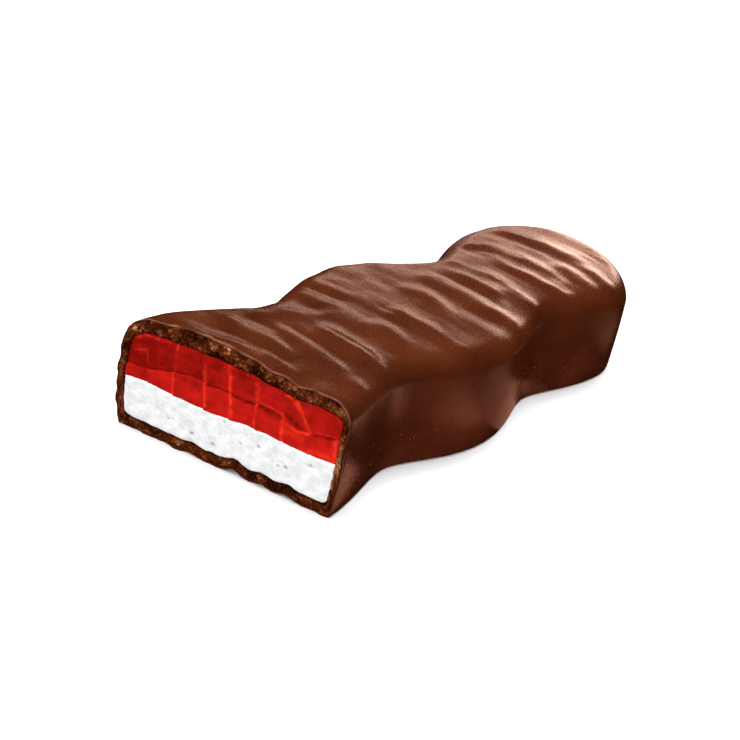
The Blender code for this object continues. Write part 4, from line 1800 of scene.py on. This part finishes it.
@dataclass
class Scatter:
    """Grains strewn over part of a piece by Geometry Nodes.

    Attributes:
        name: name of the new piece.
        where: attribute on the surface's points that is 1 where grains lie.
        count: grains for each square millimetre.
        smallest: smallest radius in millimetres.
        largest: largest radius in millimetres.
        flatness: height of a grain as a share of its width.
        gamma: what darkens the grains' random tones above 1 and lightens them below.
        seed: seed of their places and sizes.
        turn_seed: seed of their turns.
        tone_seed: seed of their tones.
        narrowest: smallest width, length and height as shares of the radius, before flattening.
        widest: largest width, length and height.
    """

    name: str
    where: str
    count: float
    smallest: float
    largest: float
    flatness: float = 0.7
    gamma: float = 1.6
    seed: int = 1
    turn_seed: int = 9
    tone_seed: int = 4
    narrowest: tuple = (0.7, 0.7, 0.6)
    widest: tuple = (1.3, 1.3, 1.2)

    def tree(self, material: bpy.types.Material) -> tuple[bpy.types.NodeTree, dict[str, str]]:
        """Make the node tree.

        Args:
            material: what the grains are made of.

        Returns:
            The tree, and its inputs' identifiers by name.
        """
        tree = bpy.data.node_groups.new(self.name, "GeometryNodeTree")
        tree.interface.new_socket(name="Geometry", in_out="OUTPUT", socket_type="NodeSocketGeometry")
        kinds = {"Surface": "Geometry", "Density": "Float", "Smallest": "Float", "Largest": "Float",
                 "Seed": "Int"}
        names = {}
        for label, kind in kinds.items():
            socket = tree.interface.new_socket(name=label, in_out="INPUT", socket_type="NodeSocket" + kind)
            names[label] = socket.identifier
        given = add_node(tree, "NodeGroupInput").outputs
        where = add_node(tree, "GeometryNodeInputNamedAttribute", {"data_type": "FLOAT", "Name": self.where})
        strewn = add_node(tree, "GeometryNodeDistributePointsOnFaces", {},
                          {"Mesh": given["Surface"], "Selection": where.outputs["Attribute"],
                           "Density": given["Density"], "Seed": given["Seed"]})
        grain = add_node(tree, "GeometryNodeMeshIcoSphere", {"Radius": 1.0, "Subdivisions": 2})
        wobble = add_node(tree, "ShaderNodeTexNoise", {"Scale": 1.3, "Detail": 1.0})
        lump = add_node(tree, "ShaderNodeVectorMath", {"operation": "SUBTRACT", 1: (0.5, 0.5, 0.5)},
                        {0: wobble.outputs["Color"]})
        rough = add_node(tree, "GeometryNodeSetPosition", {},
                         {"Geometry": grain.outputs["Mesh"], "Offset": lump.outputs[0]})
        size = add_node(tree, "FunctionNodeRandomValue", {"data_type": "FLOAT"},
                        {2: given["Smallest"], 3: given["Largest"], "Seed": given["Seed"]})
        low, high = ((wide, long, tall * self.flatness)
                     for wide, long, tall in (self.narrowest, self.widest))
        shape = add_node(tree, "FunctionNodeRandomValue", {"data_type": "FLOAT_VECTOR", 0: low, 1: high},
                         {"Seed": given["Seed"]})
        scale = add_node(tree, "ShaderNodeVectorMath", {"operation": "SCALE"},
                         {0: shape.outputs[0], "Scale": size.outputs[1]})
        turn = add_node(tree, "FunctionNodeRandomValue",
                        {"data_type": "FLOAT_VECTOR", 0: (0.0, 0.0, 0.0), 1: (math.tau,) * 3,
                         "Seed": self.turn_seed})
        placed = add_node(tree, "GeometryNodeInstanceOnPoints", {},
                          {"Points": strewn.outputs["Points"], "Instance": rough.outputs[0],
                           "Rotation": turn.outputs[0], "Scale": scale.outputs[0]})
        draw = add_node(tree, "FunctionNodeRandomValue", {"data_type": "FLOAT", "Seed": self.tone_seed})
        tone = add_node(tree, "ShaderNodeMath", {"operation": "POWER", 1: self.gamma}, {0: draw.outputs[1]})
        toned = add_node(tree, "GeometryNodeStoreNamedAttribute",
                         {"data_type": "FLOAT", "domain": "INSTANCE", "Name": "tone"},
                         {"Geometry": placed.outputs[0], "Value": tone.outputs[0]})
        real = add_node(tree, "GeometryNodeRealizeInstances", {}, {"Geometry": toned.outputs[0]})
        dressed = add_node(tree, "GeometryNodeSetMaterial", {"Material": material},
                           {"Geometry": real.outputs[0]})
        add_node(tree, "NodeGroupOutput", {}, {"Geometry": dressed.outputs[0]})
        return tree, names

    def make(self, surface: bpy.types.Object, finish: Finish, slot: Slot) -> bpy.types.Object:
        """Strew the grains over a piece, as a plain mesh that rides with it.

        Args:
            surface: the piece.
            finish: the grains' finish.
            slot: their material slot in the record; not used.

        Returns:
            The new object.
        """
        tree, names = self.tree(finish.material())
        host = bpy.data.objects.new(self.name, surface.data)
        bpy.context.scene.collection.objects.link(host)
        strew = host.modifiers.new("strew", "NODES")
        strew.node_group = tree
        strew[names["Density"]] = self.count / MM ** 2
        strew[names["Smallest"]] = self.smallest * MM
        strew[names["Largest"]] = self.largest * MM
        strew[names["Seed"]] = self.seed
        evaluated = host.evaluated_get(bpy.context.evaluated_depsgraph_get())
        mesh = bpy.data.meshes.new_from_object(evaluated)
        host.modifiers.remove(strew)
        host.data = mesh
        mesh.shade_smooth()
        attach(host, "root")
        LOG.info("%s: %d faces", self.name, len(mesh.polygons))
        return host


def direction(azimuth: float, elevation: float) -> Vector:
    """Return the way to a place this far round from -Y towards +X, and this far up, in degrees."""
    round_by, up = math.radians(azimuth), math.radians(elevation)
    return Vector((math.sin(round_by) * math.cos(up), -math.cos(round_by) * math.cos(up), math.sin(up)))


def area_lamp(name: str, size: tuple[float, float], power: float, colour: str) -> bpy.types.Object:
    """Add a rectangular lamp that the camera doesn't see.

    Args:
        name: its name.
        size: its width and height in millimetres.
        power: its power in watts.
        colour: its colour as sRGB hex.

    Returns:
        The lamp, at the origin.
    """
    data = bpy.data.lights.new(name, "AREA")
    data.shape = "RECTANGLE"
    data.size, data.size_y = (side * MM for side in size)
    data.energy = power
    data.color = srgb(colour)[:3]
    lamp = bpy.data.objects.new(name, data)
    lamp.visible_camera = False
    bpy.context.scene.collection.objects.link(lamp)
    return lamp


@dataclass(frozen=True)
class Softbox:
    """A rectangular lamp that looks at the bar.

    Attributes:
        name: its name.
        size: its width and height in millimetres.
        power: its power in watts.
        azimuth: where it stands, round from -Y towards +X, in degrees.
        elevation: how high it stands, in degrees.
        distance: how far off, in millimetres.
        colour: its colour as sRGB hex.
        glints: whether it shows in glossy surfaces, which a polarised lamp doesn't.
    """

    name: str
    size: tuple[float, float]
    power: float
    azimuth: float
    elevation: float
    distance: float
    colour: str = "#ffffff"
    glints: bool = True

    def hang(self) -> None:
        """Hang it in the scene."""
        lamp = area_lamp(self.name, self.size, self.power, self.colour)
        way = direction(self.azimuth, self.elevation)
        lamp.location = way * self.distance * MM
        lamp.rotation_euler = way.to_track_quat("Z", "Y").to_euler()
        lamp.visible_glossy = self.glints


@dataclass(frozen=True)
class FloorCard:
    """A glowing card that lies on the floor beside the bar.

    Attributes:
        name: its name.
        size: its width and length in millimetres.
        place: where its middle lies, in the frame's millimetres.
        power: its power in watts.
        colour: its colour as sRGB hex.
        glints: whether it only shows in glossy surfaces, or else only lights matt ones.
    """

    name: str
    size: tuple[float, float]
    place: tuple[float, float, float]
    power: float
    colour: str = "#ffffff"
    glints: bool = False

    def lay(self) -> None:
        """Lay it in the scene, facing up."""
        card = area_lamp(self.name, self.size, self.power, self.colour)
        card.location = Vector(self.place) * MM
        card.rotation_euler = (math.pi, 0.0, 0.0)
        card.visible_diffuse = not self.glints
        card.visible_glossy = self.glints


@dataclass
class Studio:
    """White floor, soft lamps and the photograph's camera.

    Attributes:
        shift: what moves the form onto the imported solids, in millimetres.
        lens: focal length in millimetres.
        sensor: width of the camera's frame.
        target: the point that the camera looks at, in the form's millimetres.
        distance: how far off it stands.
        azimuth: how far it stands round from -Y towards +X, in degrees.
        elevation: how far it stands up, in degrees.
        roll: how far it is turned about its own axis, in degrees.
        floor_size: length of the floor's sides in millimetres.
        softboxes: the lamps near the bar.
        cards: the cards on the floor.
        ceiling_power: strength of the even light from above.
        ceiling_spread: how wide that light looks, in degrees.
        ceiling_place: its azimuth and elevation.
        room_light: strength of the light from all round.
        room_colour: its colour as sRGB hex.
    """

    shift: np.ndarray
    lens: float = 56.18
    sensor: float = 36.0
    target: tuple = (1.08, -7.87, 7.0)
    distance: float = 151.485
    azimuth: float = 38.112
    elevation: float = 28.997
    roll: float = 9.478
    floor_size: float = 9000.0
    softboxes: tuple = (
        Softbox("back_strip", (62.0, 42.0), 0.10, 193.5, 13.3, 172.0, "#ffd2bc"),
        Softbox("back_fill", (88.0, 44.0), 0.085, 212.0, 13.0, 300.0, "#ffd2bc"),
        Softbox("near_fill", (58.0, 60.0), 0.062, 226.0, 18.0, 300.0, "#ffd2bc"),
        Softbox("far_fill", (50.0, 45.0), 0.03, 206.0, 22.0, 300.0, "#ffd2bc"),
        Softbox("side_box", (240.0, 120.0), 1.0, 35.0, 12.0, 400.0, glints=False),
        Softbox("front_box", (240.0, 240.0), 1.2, -42.0, 30.0, 480.0, glints=False),
    )
    cards: tuple = (
        FloorCard("wall_card", (70.0, 100.0), (60.0, 30.0, 0.5), 0.03),
        FloorCard("near_glint", (7.0, 12.0), (19.0, -26.0, 0.2), 0.00065, "#ffae90", glints=True),
        FloorCard("waist_glint", (8.0, 15.0), (16.7, 8.7, 0.2), 0.00028, "#ffae90", glints=True),
        FloorCard("near_haze", (14.0, 11.0), (28.2, -5.3, 0.3), 0.0015, "#ffb899", glints=True),
        FloorCard("mid_haze", (11.0, 27.0), (26.2, 6.7, 0.2), 0.0010, "#ffb899", glints=True),
        FloorCard("end_haze", (12.0, 14.0), (24.7, 42.2, 0.2), 0.0004, "#ffb899", glints=True),
        FloorCard("far_glint", (70.0, 80.0), (-45.0, 115.0, 0.2), 0.022, glints=True),
    )
    ceiling_power: float = 5.4
    ceiling_spread: float = 50.0
    ceiling_place: tuple = (200.0, 76.0)
    room_light: float = 0.20
    room_colour: str = "#e8e8ea"

    def build(self) -> None:
        """Build the floor, the light and the camera."""
        self.floor()
        self.lamps()
        self.ceiling()
        self.room()
        self.camera()

    def floor(self) -> None:
        """Lay the floor, which only the camera and the bar's shadow reach."""
        half = self.floor_size * MM / 2.0
        corners = ((-half, -half, 0.0), (half, -half, 0.0), (half, half, 0.0), (-half, half, 0.0))
        mesh = bpy.data.meshes.new("floor")
        mesh.from_pydata(corners, [], [(0, 1, 2, 3)])
        mesh.materials.append(PaleFloor().material())
        floor = bpy.data.objects.new("floor", mesh)
        bpy.context.scene.collection.objects.link(floor)
        floor.visible_diffuse = False
        floor.visible_glossy = False

    def lamps(self) -> None:
        """Hang the softboxes, and lay the cards on the floor."""
        for softbox in self.softboxes:
            softbox.hang()
        for card in self.cards:
            card.lay()

    def ceiling(self) -> None:
        """Set the even light from above, which leaves no glint."""
        data = bpy.data.lights.new("ceiling", "SUN")
        data.energy = self.ceiling_power
        data.angle = math.radians(self.ceiling_spread)
        ceiling = bpy.data.objects.new("ceiling", data)
        ceiling.rotation_euler = direction(*self.ceiling_place).to_track_quat("Z", "Y").to_euler()
        ceiling.visible_glossy = False
        bpy.context.scene.collection.objects.link(ceiling)

    def room(self) -> None:
        """Set the faint light from all round, which doesn't show in glossy surfaces."""
        world = bpy.data.worlds.new("room")
        bpy.context.scene.world = world
        world.use_nodes = True
        world.cycles_visibility.glossy = False
        world.node_tree.nodes["Background"].inputs["Color"].default_value = srgb(self.room_colour)
        world.node_tree.nodes["Background"].inputs["Strength"].default_value = self.room_light

    def camera(self) -> None:
        """Set up the camera where the photograph was taken from."""
        data = bpy.data.cameras.new("camera")
        data.lens = self.lens
        data.sensor_width = self.sensor
        data.clip_start = MM
        camera = bpy.data.objects.new("camera", data)
        bpy.context.scene.collection.objects.link(camera)
        way = direction(self.azimuth, self.elevation)
        target = Vector(self.target) + Vector(self.shift)
        place = Matrix.Translation((target + way * self.distance) * MM)
        look = way.to_track_quat("Z", "Y").to_matrix().to_4x4()
        camera.matrix_world = place @ look @ Matrix.Rotation(math.radians(self.roll), 4, "Z")
        bpy.context.scene.camera = camera
        bpy.context.scene.view_settings.view_transform = "Standard"


def main() -> None:
    """Dress the bar piece by piece, then light it."""
    logging.basicConfig(level=logging.INFO, format="%(message)s")
    form = BarForm()
    shift = form.shift()
    shell = ChocolateShell(form, shift).build()
    wall_crumbs = Scatter("wall_crumbs", "dusty", 0.5, 0.04, 0.08, flatness=0.5, gamma=0.4, seed=6)
    wall_crumbs.make(shell, BrokenChocolate(), Slot.CHOCOLATE)
    rim = BrokenRim(form, shift).build()
    rim_crumbs = Scatter("rim_crumbs", "broken", 5.0, 0.03, 0.09, seed=3)
    rim_crumbs.make(rim, BrokenChocolate(), Slot.CHOCOLATE)
    JellyFilling(form, shift).build()
    MarshmallowFilling(form, shift).build()
    Studio(shift).build()


if __name__ == "__main__":
    main()
